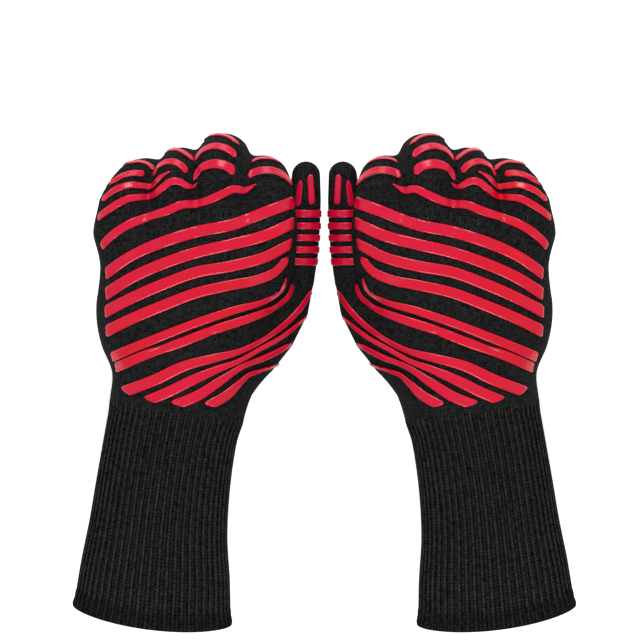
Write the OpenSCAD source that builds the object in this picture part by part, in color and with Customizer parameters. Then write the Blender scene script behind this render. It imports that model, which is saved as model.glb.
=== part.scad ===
// A pair of heat resistant grill gloves, lying palm down and shaped as on two closed hands.
// Each glove is a knitted shell with four finger stalls and a thumb stall, a ribbed gauntlet
// cuff with a bound hem, a cotton lining glove inside, and silicone grip stripes on the knit.
// Millimetres, +Z up, +Y towards the knuckles. X = 0 is the mirror plane between the thumbs.

/* [Layers] */
// Thickness of the outer knit
knit_wall = 2.4; // [1.8:0.2:2.8]
// Thickness of the cotton lining
lining_wall = 1.4; // [1:0.2:2]
// Height of a silicone stripe above the knit
stripe_height = 1.4; // [1:0.2:1.8]

/* [Cuff] */
// Length of the cuff from the wrist seam to the end of the hem
cuff_length = 110; // [90:2:140]
// Width of the cuff at the hem
hem_width = 80; // [74:1:88]
// Height of the cuff at the hem
hem_height = 60; // [52:1:68]
// How much the cuff draws in between the wrist and the hem
cuff_waist = 3; // [0:0.5:5]
// Sideways reach of the hem from the wrist
cuff_sway = 14; // [4:1:18]
// Fall of the cuff towards the table, in degrees
cuff_fall = 10; // [7:0.5:12]
// Number of knitted ribs around the cuff
rib_count = 52; // [30:2:60]
// Depth of a rib
rib_depth = 1; // [0.4:0.2:1.2]
// Length of the bound hem
hem_length = 9; // [6:1:14]
// How far the hem binding stands proud of the cuff
hem_proud = 1; // [0.6:0.2:2]

/* [Hand] */
// Width of the glove at the wrist
wrist_width = 70; // [64:1:74]
// Height of the glove at the wrist
wrist_height = 48; // [42:1:54]
// Greatest width of the back of the hand
hand_width = 104; // [102:1:110]
// Length from the wrist seam to the finger crotches
back_length = 102; // [92:1:112]

/* [Fingers] */
// Thickness of a finger stall, back to palm
finger_thickness = 26; // [24.6:0.2:26.6]
// Width of the index finger stall
index_width = 24; // [19:0.5:24.5]
// Width of the middle finger stall
middle_width = 23; // [19:0.5:24]
// Width of the ring finger stall
ring_width = 21.5; // [18:0.5:23]
// Width of the little finger stall
little_width = 24; // [18:0.5:24.5]
// How far the index knuckle stands out past the crotches
index_knuckle = 30.4; // [29:0.2:34]
// How far the middle knuckle stands out past the crotches
middle_knuckle = 41.8; // [36:0.2:46]
// How far the ring knuckle stands out past the crotches
ring_knuckle = 34.5; // [31:0.5:39]
// How far the little knuckle stands out past the crotches
little_knuckle = 29; // [28.6:0.2:33]
// Radius of the knuckle bend at mid thickness
knuckle_bend = 14.5; // [13.8:0.1:14.6]
// Radius of the other finger bends at mid thickness
finger_bend = 14; // [13.6:0.1:15]
// Straight drop of the middle finger stall from the knuckle bend to the next bend
finger_drop = 31; // [26:1:36]
// Straight run of a stall along the table
under_run = 6; // [3:0.5:9]
// Turn of the fingertip up towards the palm, in degrees
tip_turn = 55; // [40:1:60]
// Straight run before the rounded fingertip
tip_run = 5; // [2:0.5:7]

/* [Thumb] */
// Half width of the thumb stall at its root
thumb_root_radius = 17; // [15:0.5:18]
// Half width of the thumb stall at its tip
thumb_tip_radius = 7.6; // [7:0.1:8.6]
// Reach of the thumb tip from its root
thumb_length = 116; // [110:1:118]
// Height of the middle of the thumb tip above the table
thumb_height = 45; // [42:0.5:46]
// Clear space between the two thumbs of the pair
pair_gap = 2; // [1:0.5:20]

/* [Stripes] */
// Width of a stripe across the hand
stripe_width = 5.8; // [4:0.2:6.4]
// Distance from one stripe to the next
stripe_pitch = 10.6; // [9:0.2:12]
// Rise of a stripe from the middle of the hand to its thumb side
stripe_rise = 11; // [4:0.5:13]
// Width of a stripe on a finger
finger_stripe = 5; // [3:0.2:5.6]
// Width of a stripe on the thumb
thumb_stripe = 3.6; // [2.4:0.2:4]

/* [Hidden] */
$fn = 48;

knit_black = "#1b1b1e";
rib_black = "#262624";
cotton = "#d9d2c3";
silicone_red = "#e8112d";

// Free space between two layers, and under a stripe where the facets of the knit curve away
layer_gap = 0.2;
stripe_seat = 0.4;

// Depth of each layer's two faces below the outside of the knit
lining_out = knit_wall + layer_gap;
lining_in = lining_out + lining_wall;

// Points around the outer and the inner rings of the lofts
outer_sides = 36;
inner_sides = 18;
thumb_sides = 12;

// ---- finger row: place, width, knuckle reach and arch drop of each stall ----
stall_r = finger_thickness / 2;
stall_gap = 0.6;
row_clear = 1.3;
row_start = pair_gap / 2 + 2 * thumb_tip_radius + row_clear;
row_width = index_width + middle_width + ring_width + little_width + 3 * stall_gap;
row_middle = row_start + row_width / 2;
INDEX = [row_start + index_width / 2, index_width, index_knuckle, 3];
MIDDLE = [INDEX[0] + (index_width + middle_width) / 2 + stall_gap, middle_width, middle_knuckle, 0];
RING = [MIDDLE[0] + (middle_width + ring_width) / 2 + stall_gap, ring_width, ring_knuckle, 1];
LITTLE = [RING[0] + (ring_width + little_width) / 2 + stall_gap, little_width, little_knuckle, 4];

// Overlap and step where the straight tip enters the last bend
tip_overlap = 1;
tip_step = 0.05;

// The flat that each stall and the hem rest on is this far above their round underside
rest_flat = 0.6;
bend_low = stall_r - rest_flat + finger_bend;
knuckle_z = bend_low + finger_drop + knuckle_bend;

// ---- main surface of the glove: t = -1 at the hem end, 0 at the wrist, 1 at the crotches ----
wrist_offset = 10;
row_margin = 3;
wrist_y = -14;
crotch_y = wrist_y + back_length;
hem_z = (hem_height / 2 + hem_proud) * cos(cuff_fall) - rest_flat;
wrist = [row_middle + wrist_offset, wrist_y, hem_z + cuff_length * sin(cuff_fall)];
knuckles = [row_middle, crotch_y, knuckle_z - 1];
cuff_yaw = asin(cuff_sway / cuff_length);
hem_share = hem_length / cuff_length;
knuckle_arch = 4;

// Share of the way from the wrist's half width to the hand's, at a few places along the hand
FLARE = [[0, 0], [0.12, 0.07], [0.24, 0.22], [0.38, 0.56], [0.55, 0.78], [0.72, 0.88], [0.88, 1], [1, 1]];
HAND_T = [0, 0.12, 0.24, 0.38, 0.55, 0.72, 0.88, 1];
CUFF_T = [-1 + hem_share, -0.65, -0.3, 0];

function mix(a, b, t) = a + (b - a) * t;
function ease(t) = t * t * (3 - 2 * t);
function power(v, p) = sign(v) * pow(abs(v), p);

// Direction towards the hem, sideways direction and upward direction of the ring at t
function fall_at(t) = t < 0 ? cuff_fall : mix(cuff_fall, 0, ease(t));
function yaw_at(t) = t < 0 ? cuff_yaw : mix(cuff_yaw, 0, ease(t));
function side_dir(t) = [cos(yaw_at(t)), sin(yaw_at(t)), 0];
function hem_dir(t) = [
    sin(yaw_at(t)) * cos(fall_at(t)),
    -cos(yaw_at(t)) * cos(fall_at(t)),
    -sin(fall_at(t))
];
function up_dir(t) = cross(hem_dir(t), side_dir(t));

function centre_at(t) = t < 0 ? wrist - t * cuff_length * hem_dir(-1) : mix(wrist, knuckles, t);
function half_width_at(t) =
    t < 0 ? mix(wrist_width, hem_width, pow(-t, 1.6)) / 2 - cuff_waist / 2 * sin(-180 * t)
    : mix(
        wrist_width / 2,
        mix(hand_width / 2, row_width / 2 + row_margin, max(0, t - 0.88) / 0.12),
        lookup(t, FLARE)
    );
function half_height_at(t) =
    t < 0 ? mix(wrist_height, hem_height, -t) / 2
    : mix(wrist_height / 2, stall_r + 1.5, pow(t, 1.7));
function square_at(t) = t < 0 ? 2.1 : mix(2.1, 3.4, ease(t));
function arch_at(t) = t < 0 ? 0 : knuckle_arch * ease(t);

// A point at angle q around the ring at t, "deep" millimetres inside the knit's outer face
function skin(t, q, deep = 0) =
    let (n = square_at(t), u = power(cos(q), 2 / n), v = power(sin(q), 2 / n))
    centre_at(t) + (half_width_at(t) - deep) * u * side_dir(t)
    + ((half_height_at(t) - deep) * v - arch_at(t) * u * u) * up_dir(t);

function ring(t, deep, sides, shift = 0) =
    [for (i = [0 : sides - 1]) skin(t, 360 * i / sides, deep) + [0, shift, 0]];

// ---- lofts ----
// Quads between rings of the same number of points that run towards -Y
function wall_faces(rings, sides) = [
    for (k = [0 : rings - 2], i = [0 : sides - 1])
        let (j = (i + 1) % sides, a = k * sides, b = a + sides)
        [a + i, b + i, b + j, a + j]
];

// Closed solid through rings that run towards -Y
module solid_loft(rings) {
    sides = len(rings[0]);
    last = (len(rings) - 1) * sides;
    polyhedron(
        points = [for (r = rings) each r],
        faces = concat(
            wall_faces(len(rings), sides),
            [[for (i = [0 : sides - 1]) i]],
            [[for (i = [sides - 1 : -1 : 0]) last + i]]
        )
    );
}

// The hand without its fingers as a closed solid whose faces lie "deep" inside the knit's.
// It can start below the wrist, which opens the wrist when it is cut out of a larger one.
module hand_solid(deep, sides, start = 0) {
    ends = concat(start < 0 ? [start] : [], HAND_T);
    last = len(ends) - 1;
    solid_loft([
        for (k = [last : -1 : 0])
            ring(ends[k], deep, sides, k == last ? -deep : 0)
    ]);
}

// ---- thumb ----
thumb_tip = [pair_gap / 2 + thumb_tip_radius + 0.3, 0, thumb_height];
thumb_root = [wrist[0] - wrist_width / 2 + 4.5, wrist_y + 12, wrist[2] - 4.5];
tip_height_ratio = 1.24;
// Share of the length, share of the sideways offset and share of the extra radius, root to tip.
// The first station lies inside the hand, so the ball of the thumb swells out of the wrist.
THUMB = [
    [-0.04, 1.24, 0.1], [0.02, 0.98, 0.72], [0.12, 0.76, 1], [0.26, 0.52, 0.89],
    [0.41, 0.3, 0.66], [0.57, 0.14, 0.38], [0.75, 0.035, 0.12], [0.93, 0, 0]
];
TIP_ROUND = [0.55, 1];

function thumb_centre(s) = [
    mix(thumb_tip[0], thumb_root[0], lookup(s, [for (p = THUMB) [p[0], p[1]]])),
    thumb_root[1] + s * thumb_length,
    mix(thumb_root[2], thumb_tip[2], s)
];
function thumb_radius(s) =
    mix(thumb_tip_radius, thumb_root_radius, lookup(s, [for (p = THUMB) [p[0], p[2]]]));
function thumb_lean(s) =
    let (d = thumb_centre(min(s + 0.07, 0.93)) - thumb_centre(max(s - 0.07, -0.04)))
    s > 0.85 ? 0 : atan2(-d[0], d[1]);

// A point at angle q around the thumb at share s of its length
function thumb_skin(s, q, deep, shrink = 1) =
    let (
        r = thumb_radius(s),
        tall = mix(r * tip_height_ratio, r * 0.9, lookup(s, [for (p = THUMB) [p[0], p[2]]])),
        lean = thumb_lean(s)
    )
    thumb_centre(s) + (r - deep) * shrink * cos(q) * [cos(lean), sin(lean), 0]
    + [0, 0, (tall - deep) * shrink * sin(q)];

module thumb_solid(deep, sides) {
    body = [for (p = THUMB) [for (i = [0 : sides - 1]) thumb_skin(p[0], 360 * i / sides, deep)]];
    end = THUMB[len(THUMB) - 1][0];
    reach = (1 - end) * thumb_length - deep;
    round_tip = [
        for (f = TIP_ROUND)
            [for (i = [0 : sides - 1])
                thumb_skin(end, 360 * i / sides, deep, max(0.08, sqrt(1 - f * f))) + [0, f * reach, 0]]
    ];
    all = concat(body, round_tip);
    solid_loft([for (k = [len(all) - 1 : -1 : 0]) all[k]]);
}

// ---- finger stalls ----
// Section of a stall: a circle with its two sides flattened where it meets its neighbours
module stall_section(width, deep) {
    intersection() {
        circle(r = stall_r - deep);
        square([2 * stall_r, width - 2 * deep], center = true);
    }
}

function bend_y(f) = crotch_y + f[2] - stall_r - knuckle_bend;
function stall_z(f) = knuckle_z - f[3];
function stall_drop(f) = finger_drop - f[3];
function under_y(f) = bend_y(f) + knuckle_bend - finger_bend;

// Places its children, drawn in the X-Y plane with X away from the bend, on the bend's start
module at_knuckle_bend(f) {
    translate([f[0], bend_y(f), stall_z(f) - knuckle_bend]) rotate([0, -90, 0]) children();
}
module at_middle_bend(f) {
    translate([f[0], under_y(f), bend_low]) rotate([0, -90, 0]) rotate(90) children();
}
module at_tip_bend(f) {
    translate([f[0], under_y(f) - under_run, bend_low]) rotate([0, -90, 0]) rotate(180) children();
}

// The stall's outer face, moved "deep" inwards, as one closed solid from "from_y" to the tip
module stall_solid(f, deep, from_y) {
    width = f[1];
    translate([f[0], bend_y(f), stall_z(f)]) rotate([90, 0, 0])
        linear_extrude(bend_y(f) - from_y) rotate(90) stall_section(width, deep);
    at_knuckle_bend(f)
        rotate_extrude(angle = 90) translate([knuckle_bend, 0]) stall_section(width, deep);
    translate([f[0], bend_y(f) + knuckle_bend, bend_low])
        linear_extrude(stall_drop(f)) rotate(90) stall_section(width, deep);
    at_middle_bend(f)
        rotate_extrude(angle = 90) translate([finger_bend, 0]) stall_section(width, deep);
    translate([f[0], under_y(f), bend_low - finger_bend]) rotate([90, 0, 0])
        linear_extrude(under_run) rotate(90) stall_section(width, deep);
    at_tip_bend(f)
        rotate_extrude(angle = tip_turn) translate([finger_bend, 0]) stall_section(width, deep);
    // The straight tip starts a little inside the bend, and a hair slimmer, so the two fuse
    at_tip_bend(f) rotate(tip_turn) translate([finger_bend, 0, 0]) rotate([-90, 0, 0]) {
        translate([0, 0, -tip_overlap])
            linear_extrude(tip_run + tip_overlap) stall_section(width, deep + tip_step);
        translate([0, 0, tip_run]) intersection() {
            sphere(r = stall_r - deep - tip_step);
            translate([-stall_r, deep + tip_step - width / 2, 0])
                cube([2 * stall_r, width - 2 * (deep + tip_step), stall_r]);
        }
    }
}

// Everything above the table; its reach only has to be larger than a glove
table_reach = 3 * (cuff_length + back_length);
module above_table() {
    translate([0, -table_reach, 0]) cube([table_reach, 2 * table_reach, table_reach]);
}

module stall(f) {
    color(knit_black) difference() {
        intersection() {
            stall_solid(f, 0, crotch_y);
            above_table();
        }
        stall_solid(f, knit_wall, crotch_y - 1);
    }
}

module stall_lining(f) {
    color(cotton) difference() {
        stall_solid(f, lining_out, crotch_y - lining_out);
        stall_solid(f, lining_in, crotch_y - lining_out - 1);
    }
}

module finger_holes(deep, from_y, to_y) {
    for (f = [INDEX, MIDDLE, RING, LITTLE])
        translate([f[0], to_y, stall_z(f)]) rotate([90, 0, 0])
            linear_extrude(to_y - from_y) rotate(90) stall_section(f[1], deep);
}

// ---- parts of one glove ----
module hand_knit() {
    color(knit_black) difference() {
        hand_solid(0, outer_sides);
        hand_solid(knit_wall, inner_sides, -0.02);
        thumb_solid(knit_wall, thumb_sides);
        finger_holes(knit_wall, crotch_y - knit_wall - 1, crotch_y + 1);
    }
}

module thumb_stall() {
    color(knit_black) difference() {
        thumb_solid(0, thumb_sides);
        thumb_solid(knit_wall, thumb_sides);
        hand_solid(-layer_gap, outer_sides);
    }
}

module hand_lining() {
    color(cotton) difference() {
        hand_solid(lining_out, inner_sides);
        hand_solid(lining_in, inner_sides, -0.02);
        thumb_solid(lining_in, thumb_sides);
        finger_holes(lining_in, crotch_y - lining_in - 1, crotch_y);
    }
}

module thumb_lining() {
    color(cotton) difference() {
        thumb_solid(lining_out, thumb_sides);
        thumb_solid(lining_in, thumb_sides);
        hand_solid(lining_out - layer_gap, inner_sides, -0.02);
    }
}

// Ring of the cuff with a rib on every second point
function ribbed_ring(t) = [
    for (i = [0 : 2 * rib_count - 1])
        skin(t, 180 * i / rib_count, i % 2 == 0 ? 0 : rib_depth)
];

// Flat end between a ribbed ring and the plain ring inside it, three triangles to a rib
function rib_end_faces(outer_first, inner_first) = [
    for (i = [0 : rib_count - 1])
        let (
            crest = outer_first + 2 * i,
            next_crest = outer_first + (2 * i + 2) % (2 * rib_count),
            inside = inner_first + i,
            next_inside = inner_first + (i + 1) % rib_count
        )
        each [
            [crest, crest + 1, inside],
            [crest + 1, next_inside, inside],
            [crest + 1, next_crest, next_inside]
        ]
];

function reversed(face) = [for (i = [len(face) - 1 : -1 : 0]) face[i]];

module cuff() {
    rings = len(CUFF_T);
    inner = 2 * rib_count * rings;
    wrist_first = [for (k = [rings - 1 : -1 : 0]) CUFF_T[k]];
    color(rib_black) polyhedron(
        points = concat(
            [for (t = wrist_first) each ribbed_ring(t)],
            [for (t = wrist_first) each ring(t, knit_wall, rib_count)]
        ),
        faces = concat(
            wall_faces(rings, 2 * rib_count),
            [for (f = wall_faces(rings, rib_count)) [for (v = reversed(f)) v + inner]],
            rib_end_faces(0, inner),
            [
                for (f = rib_end_faces(inner - 2 * rib_count, inner + (rings - 1) * rib_count))
                    reversed(f)
            ]
        )
    );
}

// Rings from a list of [t, depth] pairs
function rings_at(stations, sides) = [for (p = stations) ring(p[0], p[1], sides)];

// Bound hem: a band that stands proud of the cuff, with its edges turned in
hem_edge = hem_proud / cuff_length;
hem_start = -1 + hem_share;
HEM_OUT = [
    [hem_start, 0],
    [hem_start - hem_edge, -hem_proud],
    [-1 + hem_edge, -hem_proud],
    [-1, 0]
];
HEM_IN = [
    [hem_start + hem_edge, lining_in],
    [hem_start - hem_edge, lining_in],
    [-1, lining_in - hem_proud],
    [-1 - hem_edge, lining_in - hem_proud]
];

module hem() {
    color(rib_black) intersection() {
        difference() {
            solid_loft(rings_at(HEM_OUT, outer_sides));
            solid_loft(rings_at(HEM_IN, inner_sides));
        }
        above_table();
    }
}

module cuff_lining() {
    rings = len(CUFF_T);
    inside = inner_sides * rings;
    walls = wall_faces(rings, inner_sides);
    wrist_end = [
        for (i = [0 : inner_sides - 1])
            let (j = (i + 1) % inner_sides)
            [i, j, inside + j, inside + i]
    ];
    color(cotton) polyhedron(
        points = [
            for (deep = [lining_out, lining_in], k = [rings - 1 : -1 : 0])
                each ring(CUFF_T[k], deep, inner_sides)
        ],
        faces = concat(
            walls,
            [for (f = walls) [for (v = reversed(f)) v + inside]],
            wrist_end,
            [for (f = wrist_end) [for (v = reversed(f)) v + inside - inner_sides]]
        )
    );
}

// ---- stripes ----
// Band swept through stations of four corners: two on the knit side, two on the outside
module ribbon(stations) {
    last = 4 * (len(stations) - 1);
    polyhedron(
        points = [for (s = stations) each s],
        faces = concat(
            wall_faces(len(stations), 4),
            [[0, 1, 2, 3]],
            [[last + 3, last + 2, last + 1, last]]
        )
    );
}

// Line of a stripe across the back: y at a given x, climbing towards the thumb
function stripe_y(base, x) =
    let (u = (x - row_middle) / (hand_width / 2))
    base - stripe_rise * (u + 0.25 * u * u + 0.7 * u * u * u);

// Share t at which the line at angle q meets the surface, by a few corrections
function stripe_t(base, q, t = 0.5, turns = 6) =
    turns == 0 ? t
    : let (p = skin(t, q))
        stripe_t(base, q, min(1.4, max(-0.4, t + (stripe_y(base, p[0]) - p[1]) / back_length)), turns - 1);

// Four corners of a stripe that lies across the hand at share t and angle q
function hand_corners(t, q, half) = [
    skin(t + half, q, -stripe_seat),
    skin(t - half, q, -stripe_seat),
    skin(t - half, q, -stripe_height),
    skin(t + half, q, -stripe_height)
];

// Stripes at the given bases between two angles, kept inside the hand knit
module hand_stripes(bases, angles, widen = 1.12) {
    half = stripe_width * widen / 2 / back_length;
    for (base = bases) {
        line = [
            for (q = angles)
                let (t = stripe_t(base, q))
                if (t > half + 0.012 && t < 0.985 - half) hand_corners(t, q, half)
        ];
        if (len(line) > 2) ribbon(line);
    }
}

// Angles at which the stripes are stationed, closer where the hand turns under at its sides
BACK_Q = [14, 26, 42, 62, 80, 90, 100, 118, 138, 154, 166];
PALM_Q = [230, 240, 250, 270, 290, 306, 318, 328, 336];
back_first = 8;
palm_first = 12;

module back_stripes() {
    color(silicone_red)
        hand_stripes([for (k = [0 : 9]) crotch_y - back_first - k * stripe_pitch], BACK_Q);
}

module palm_stripes() {
    color(silicone_red) difference() {
        hand_stripes([for (k = [0 : 5]) crotch_y - palm_first - k * stripe_pitch], PALM_Q, 1);
        thumb_solid(-stripe_seat, thumb_sides);
    }
}

// Section of a stripe on a stall: a shallow arch over its back
module band_section(width) {
    intersection() {
        difference() {
            circle(r = stall_r + stripe_height);
            circle(r = stall_r + layer_gap);
        }
        translate([stall_r * 0.45, 1 - width / 2]) square([2 * stall_r, width - 2]);
    }
}

// Stripe bent around a bend of radius "bend", starting "from" degrees into it
module bend_band(f, bend, from) {
    turn = finger_stripe / (bend + stall_r) * 180 / PI;
    rotate(from) rotate_extrude(angle = turn) translate([bend, 0]) band_section(f[1]);
}

module finger_bands(f) {
    color(silicone_red) {
        for (from = [4, 30, 56])
            at_knuckle_bend(f) bend_band(f, knuckle_bend, from);
        for (z = [stall_drop(f) - finger_stripe - 2 : -stripe_pitch : 2])
            translate([f[0], bend_y(f) + knuckle_bend, bend_low + z])
                linear_extrude(finger_stripe) rotate(90) band_section(f[1]);
        for (from = [8, 34])
            at_middle_bend(f) bend_band(f, finger_bend, from);
    }
}

// Four corners of a stripe on the thumb at share s of its length and angle q around it
function thumb_corners(s, q, half) = [
    thumb_skin(s + half, q, -stripe_seat),
    thumb_skin(s - half, q, -stripe_seat),
    thumb_skin(s - half, q, -stripe_height),
    thumb_skin(s + half, q, -stripe_height)
];

// The same for a stripe that runs along the thumb, "half" millimetres to each side
function thumb_lengthwise(s, q, half) =
    let (turn = half / thumb_radius(s) * 180 / PI)
    [
        thumb_skin(s, q - turn, -stripe_seat),
        thumb_skin(s, q + turn, -stripe_seat),
        thumb_skin(s, q + turn, -stripe_height),
        thumb_skin(s, q - turn, -stripe_height)
    ];

module thumb_stripes() {
    half = thumb_stripe / 2 / thumb_length;
    color(silicone_red) {
        // Short stripes across the thumb, on the side that is clear of the hand
        for (s = [0.57 : 6.4 / thumb_length : 0.8])
            ribbon([for (q = [102 : 13 : 167]) thumb_corners(s, q, half)]);
        // Two stripes along the last joint
        for (q = [66, 112])
            ribbon([for (s = [0.83 : 0.025 : 0.93]) thumb_lengthwise(s, q, thumb_stripe / 2)]);
    }
}

// Both gloves stand centred on the origin, from the hem to the middle knuckle
front_y = bend_y(MIDDLE) + knuckle_bend + stall_r + stripe_height;
back_y = min([for (r = rings_at(HEM_OUT, outer_sides), p = r) p[1]]);
centre_y = (front_y + back_y) / 2;

module right_glove() {
    translate([0, -centre_y, 0]) children();
}
module left_glove() {
    mirror([1, 0, 0]) right_glove() children();
}

left_glove() hand_knit();  // left_hand_knit
left_glove() stall(INDEX);  // left_index_stall
left_glove() stall(MIDDLE);  // left_middle_stall
left_glove() stall(RING);  // left_ring_stall
left_glove() stall(LITTLE);  // left_little_stall
left_glove() thumb_stall();  // left_thumb_stall
left_glove() cuff();  // left_cuff
left_glove() hem();  // left_hem
left_glove() cuff_lining();  // left_cuff_lining
left_glove() hand_lining();  // left_hand_lining
left_glove() stall_lining(INDEX);  // left_index_lining
left_glove() stall_lining(MIDDLE);  // left_middle_lining
left_glove() stall_lining(RING);  // left_ring_lining
left_glove() stall_lining(LITTLE);  // left_little_lining
left_glove() thumb_lining();  // left_thumb_lining
left_glove() back_stripes();  // left_back_stripes
left_glove() palm_stripes();  // left_palm_stripes
left_glove() finger_bands(INDEX);  // left_index_stripes
left_glove() finger_bands(MIDDLE);  // left_middle_stripes
left_glove() finger_bands(RING);  // left_ring_stripes
left_glove() finger_bands(LITTLE);  // left_little_stripes
left_glove() thumb_stripes();  // left_thumb_stripes
right_glove() hand_knit();  // right_hand_knit
right_glove() stall(INDEX);  // right_index_stall
right_glove() stall(MIDDLE);  // right_middle_stall
right_glove() stall(RING);  // right_ring_stall
right_glove() stall(LITTLE);  // right_little_stall
right_glove() thumb_stall();  // right_thumb_stall
right_glove() cuff();  // right_cuff
right_glove() hem();  // right_hem
right_glove() cuff_lining();  // right_cuff_lining
right_glove() hand_lining();  // right_hand_lining
right_glove() stall_lining(INDEX);  // right_index_lining
right_glove() stall_lining(MIDDLE);  // right_middle_lining
right_glove() stall_lining(RING);  // right_ring_lining
right_glove() stall_lining(LITTLE);  // right_little_lining
right_glove() thumb_lining();  // right_thumb_lining
right_glove() back_stripes();  // right_back_stripes
right_glove() palm_stripes();  // right_palm_stripes
right_glove() finger_bands(INDEX);  // right_index_stripes
right_glove() finger_bands(MIDDLE);  // right_middle_stripes
right_glove() finger_bands(RING);  // right_ring_stripes
right_glove() finger_bands(LITTLE);  // right_little_stripes
right_glove() thumb_stripes();  // right_thumb_stripes
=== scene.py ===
# %% [markdown]
# # A pair of heat resistant grill gloves
# Two knitted gauntlets lie palm down on a table, shaped as if closed hands were inside them.
# Each has a fine black knit over the hand, a ribbed cuff with an overlocked hem, a cotton
# lining, and raised stripes of red silicone that give grip and keep the heat away.
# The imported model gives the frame: which bodies there are, and the box of each part. Its hard
# solids are too plain for cloth, so this lesson works out each visible surface with numpy, to
# stand where they stand. Lengths are millimetres until a mesh is made, where MM turns them to
# metres.

import bpy
import numpy as np
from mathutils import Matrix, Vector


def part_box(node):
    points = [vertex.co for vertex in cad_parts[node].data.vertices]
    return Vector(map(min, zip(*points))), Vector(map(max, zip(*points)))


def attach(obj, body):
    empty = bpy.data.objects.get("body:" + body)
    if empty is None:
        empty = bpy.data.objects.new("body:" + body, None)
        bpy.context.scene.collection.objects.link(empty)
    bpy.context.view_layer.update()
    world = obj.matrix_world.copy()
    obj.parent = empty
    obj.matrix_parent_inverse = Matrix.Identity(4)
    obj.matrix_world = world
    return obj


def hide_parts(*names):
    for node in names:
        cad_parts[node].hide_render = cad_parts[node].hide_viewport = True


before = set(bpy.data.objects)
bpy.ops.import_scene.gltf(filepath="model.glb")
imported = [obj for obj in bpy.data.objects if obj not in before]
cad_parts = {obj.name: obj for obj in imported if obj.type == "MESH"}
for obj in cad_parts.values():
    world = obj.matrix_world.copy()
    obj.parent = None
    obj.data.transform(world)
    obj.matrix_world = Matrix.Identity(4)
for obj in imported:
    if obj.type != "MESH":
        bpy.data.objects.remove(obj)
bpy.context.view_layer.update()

import openvdb

# %% [markdown]
# ## Camera, floor and light
# Goods like these are shown from straight above. A short lens would lean the cuffs outwards,
# and an orthographic camera would lose all depth. A long lens from far away does neither, so
# both hands keep their outline and still look solid.

# %% Camera
MM = 0.001
# Middle, width and height over the table of the level that just fills the frame, in mm
VIEW_CENTRE = (-2.3, 31.0)
VIEW_WIDTH = 332.8
VIEW_HEIGHT = 62.0
LENS = 500.0
SENSOR = 36.0
# Metres past which nothing is drawn
FAR_CLIP = 20

camera_data = bpy.data.cameras.new("camera")
camera_data.lens = LENS
camera_data.sensor_width = SENSOR
camera_data.clip_end = FAR_CLIP
camera = bpy.data.objects.new("camera", camera_data)
distance = VIEW_WIDTH * LENS / SENSOR
camera.location = [VIEW_CENTRE[0] * MM, VIEW_CENTRE[1] * MM, (VIEW_HEIGHT + distance) * MM]
bpy.context.scene.collection.objects.link(camera)
bpy.context.scene.camera = camera
print("camera stands", round(distance), "mm above the gloves")

# %% [markdown]
# Every material is a small graph of nodes. Written out in full, each node takes four or five
# lines, so one helper adds a node with its settings and links, whatever its kind. A second one
# turns a colour as it is written in a paint chart (sRGB hex) to the linear values that the
# shader works with.

# %% Colour and node helpers
def colour(hex_code):
    """Linear RGBA from sRGB hex: c / 12.92 below 0.04045, else ((c + 0.055) / 1.055) ** 2.4."""
    srgb = np.array([int(hex_code[i:i + 2], 16) for i in (1, 3, 5)]) / 255
    linear = np.where(srgb <= 0.04045, srgb / 12.92, ((srgb + 0.055) / 1.055) ** 2.4)
    return (*linear.tolist(), 1.0)


def add_node(tree, kind, settings, *values, **named_values):
    """Adds a node of a kind, such as Math. Settings are a dict, or the name of its operation.
    Values fill its inputs in order, named ones go by name or, as _6, by number. Each is a
    number, a colour, a socket, or a node, whose first output is then linked."""
    node = tree.nodes.new("ShaderNode" + kind)
    if isinstance(settings, str):
        settings = {"operation": settings}
    for name, value in settings.items():
        setattr(node, name, value)
    for name, value in [*enumerate(values), *named_values.items()]:
        if isinstance(name, str):
            name = int(name[1:]) if name[1:].isdigit() else name.replace("_", " ")
        if isinstance(value, bpy.types.Node):
            value = value.outputs[0]
        if isinstance(value, bpy.types.NodeSocket):
            tree.links.new(value, node.inputs[name])
        else:
            node.inputs[name].default_value = value
    return node


def new_material(name):
    """An empty material and its node tree."""
    material = bpy.data.materials.new(name)
    material.use_nodes = True
    material.node_tree.nodes.clear()
    return material, material.node_tree


def finish_material(tree, shader):
    """Adds the output node and links the shader to it."""
    add_node(tree, "OutputMaterial", {}, shader)


print("red chip as linear:", [round(c, 3) for c in colour("#e8112d")])

# %% [markdown]
# The gloves lie on a plain white board. A white backdrop alone would leave them floating, and
# a lit white board turns grey away from the lamps. So the board has matt paint, which takes
# the soft shadow, and a glow that only shows where it is looked at or mirrored. The glow
# throws no light on the gloves.

# %% Floor
FLOOR_SIZE = 6000.0
FLOOR_DROP = 0.3
FLOOR_GLOW = 0.7

floor_paint, tree = new_material("pale_painted_floor")
path = add_node(tree, "LightPath", {})
seen = add_node(tree, "Math", "MAXIMUM", path.outputs["Is Camera Ray"],
                path.outputs["Is Glossy Ray"])
seen = add_node(tree, "Math", "MAXIMUM", seen, path.outputs["Is Transmission Ray"])
paint = add_node(tree, "BsdfDiffuse", {}, colour("#f4f4f4"))
glow = add_node(tree, "Emission", {}, colour("#ffffff"), FLOOR_GLOW)
both = add_node(tree, "AddShader", {}, paint, glow)
finish_material(tree, add_node(tree, "MixShader", {}, seen, paint, both))

half = FLOOR_SIZE / 2 * MM
floor_plan = [(-half, -half), (half, -half), (half, half), (-half, half)]
floor_corners = [(x, y, -FLOOR_DROP * MM) for x, y in floor_plan]
floor_mesh = bpy.data.meshes.new("floor")
floor_mesh.from_pydata(floor_corners, [], [(0, 1, 2, 3)])
floor_mesh.materials.append(floor_paint)
floor = bpy.data.objects.new("floor", floor_mesh)
bpy.context.scene.collection.objects.link(floor)
print("floor:", FLOOR_SIZE / 1000, "m square")

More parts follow.
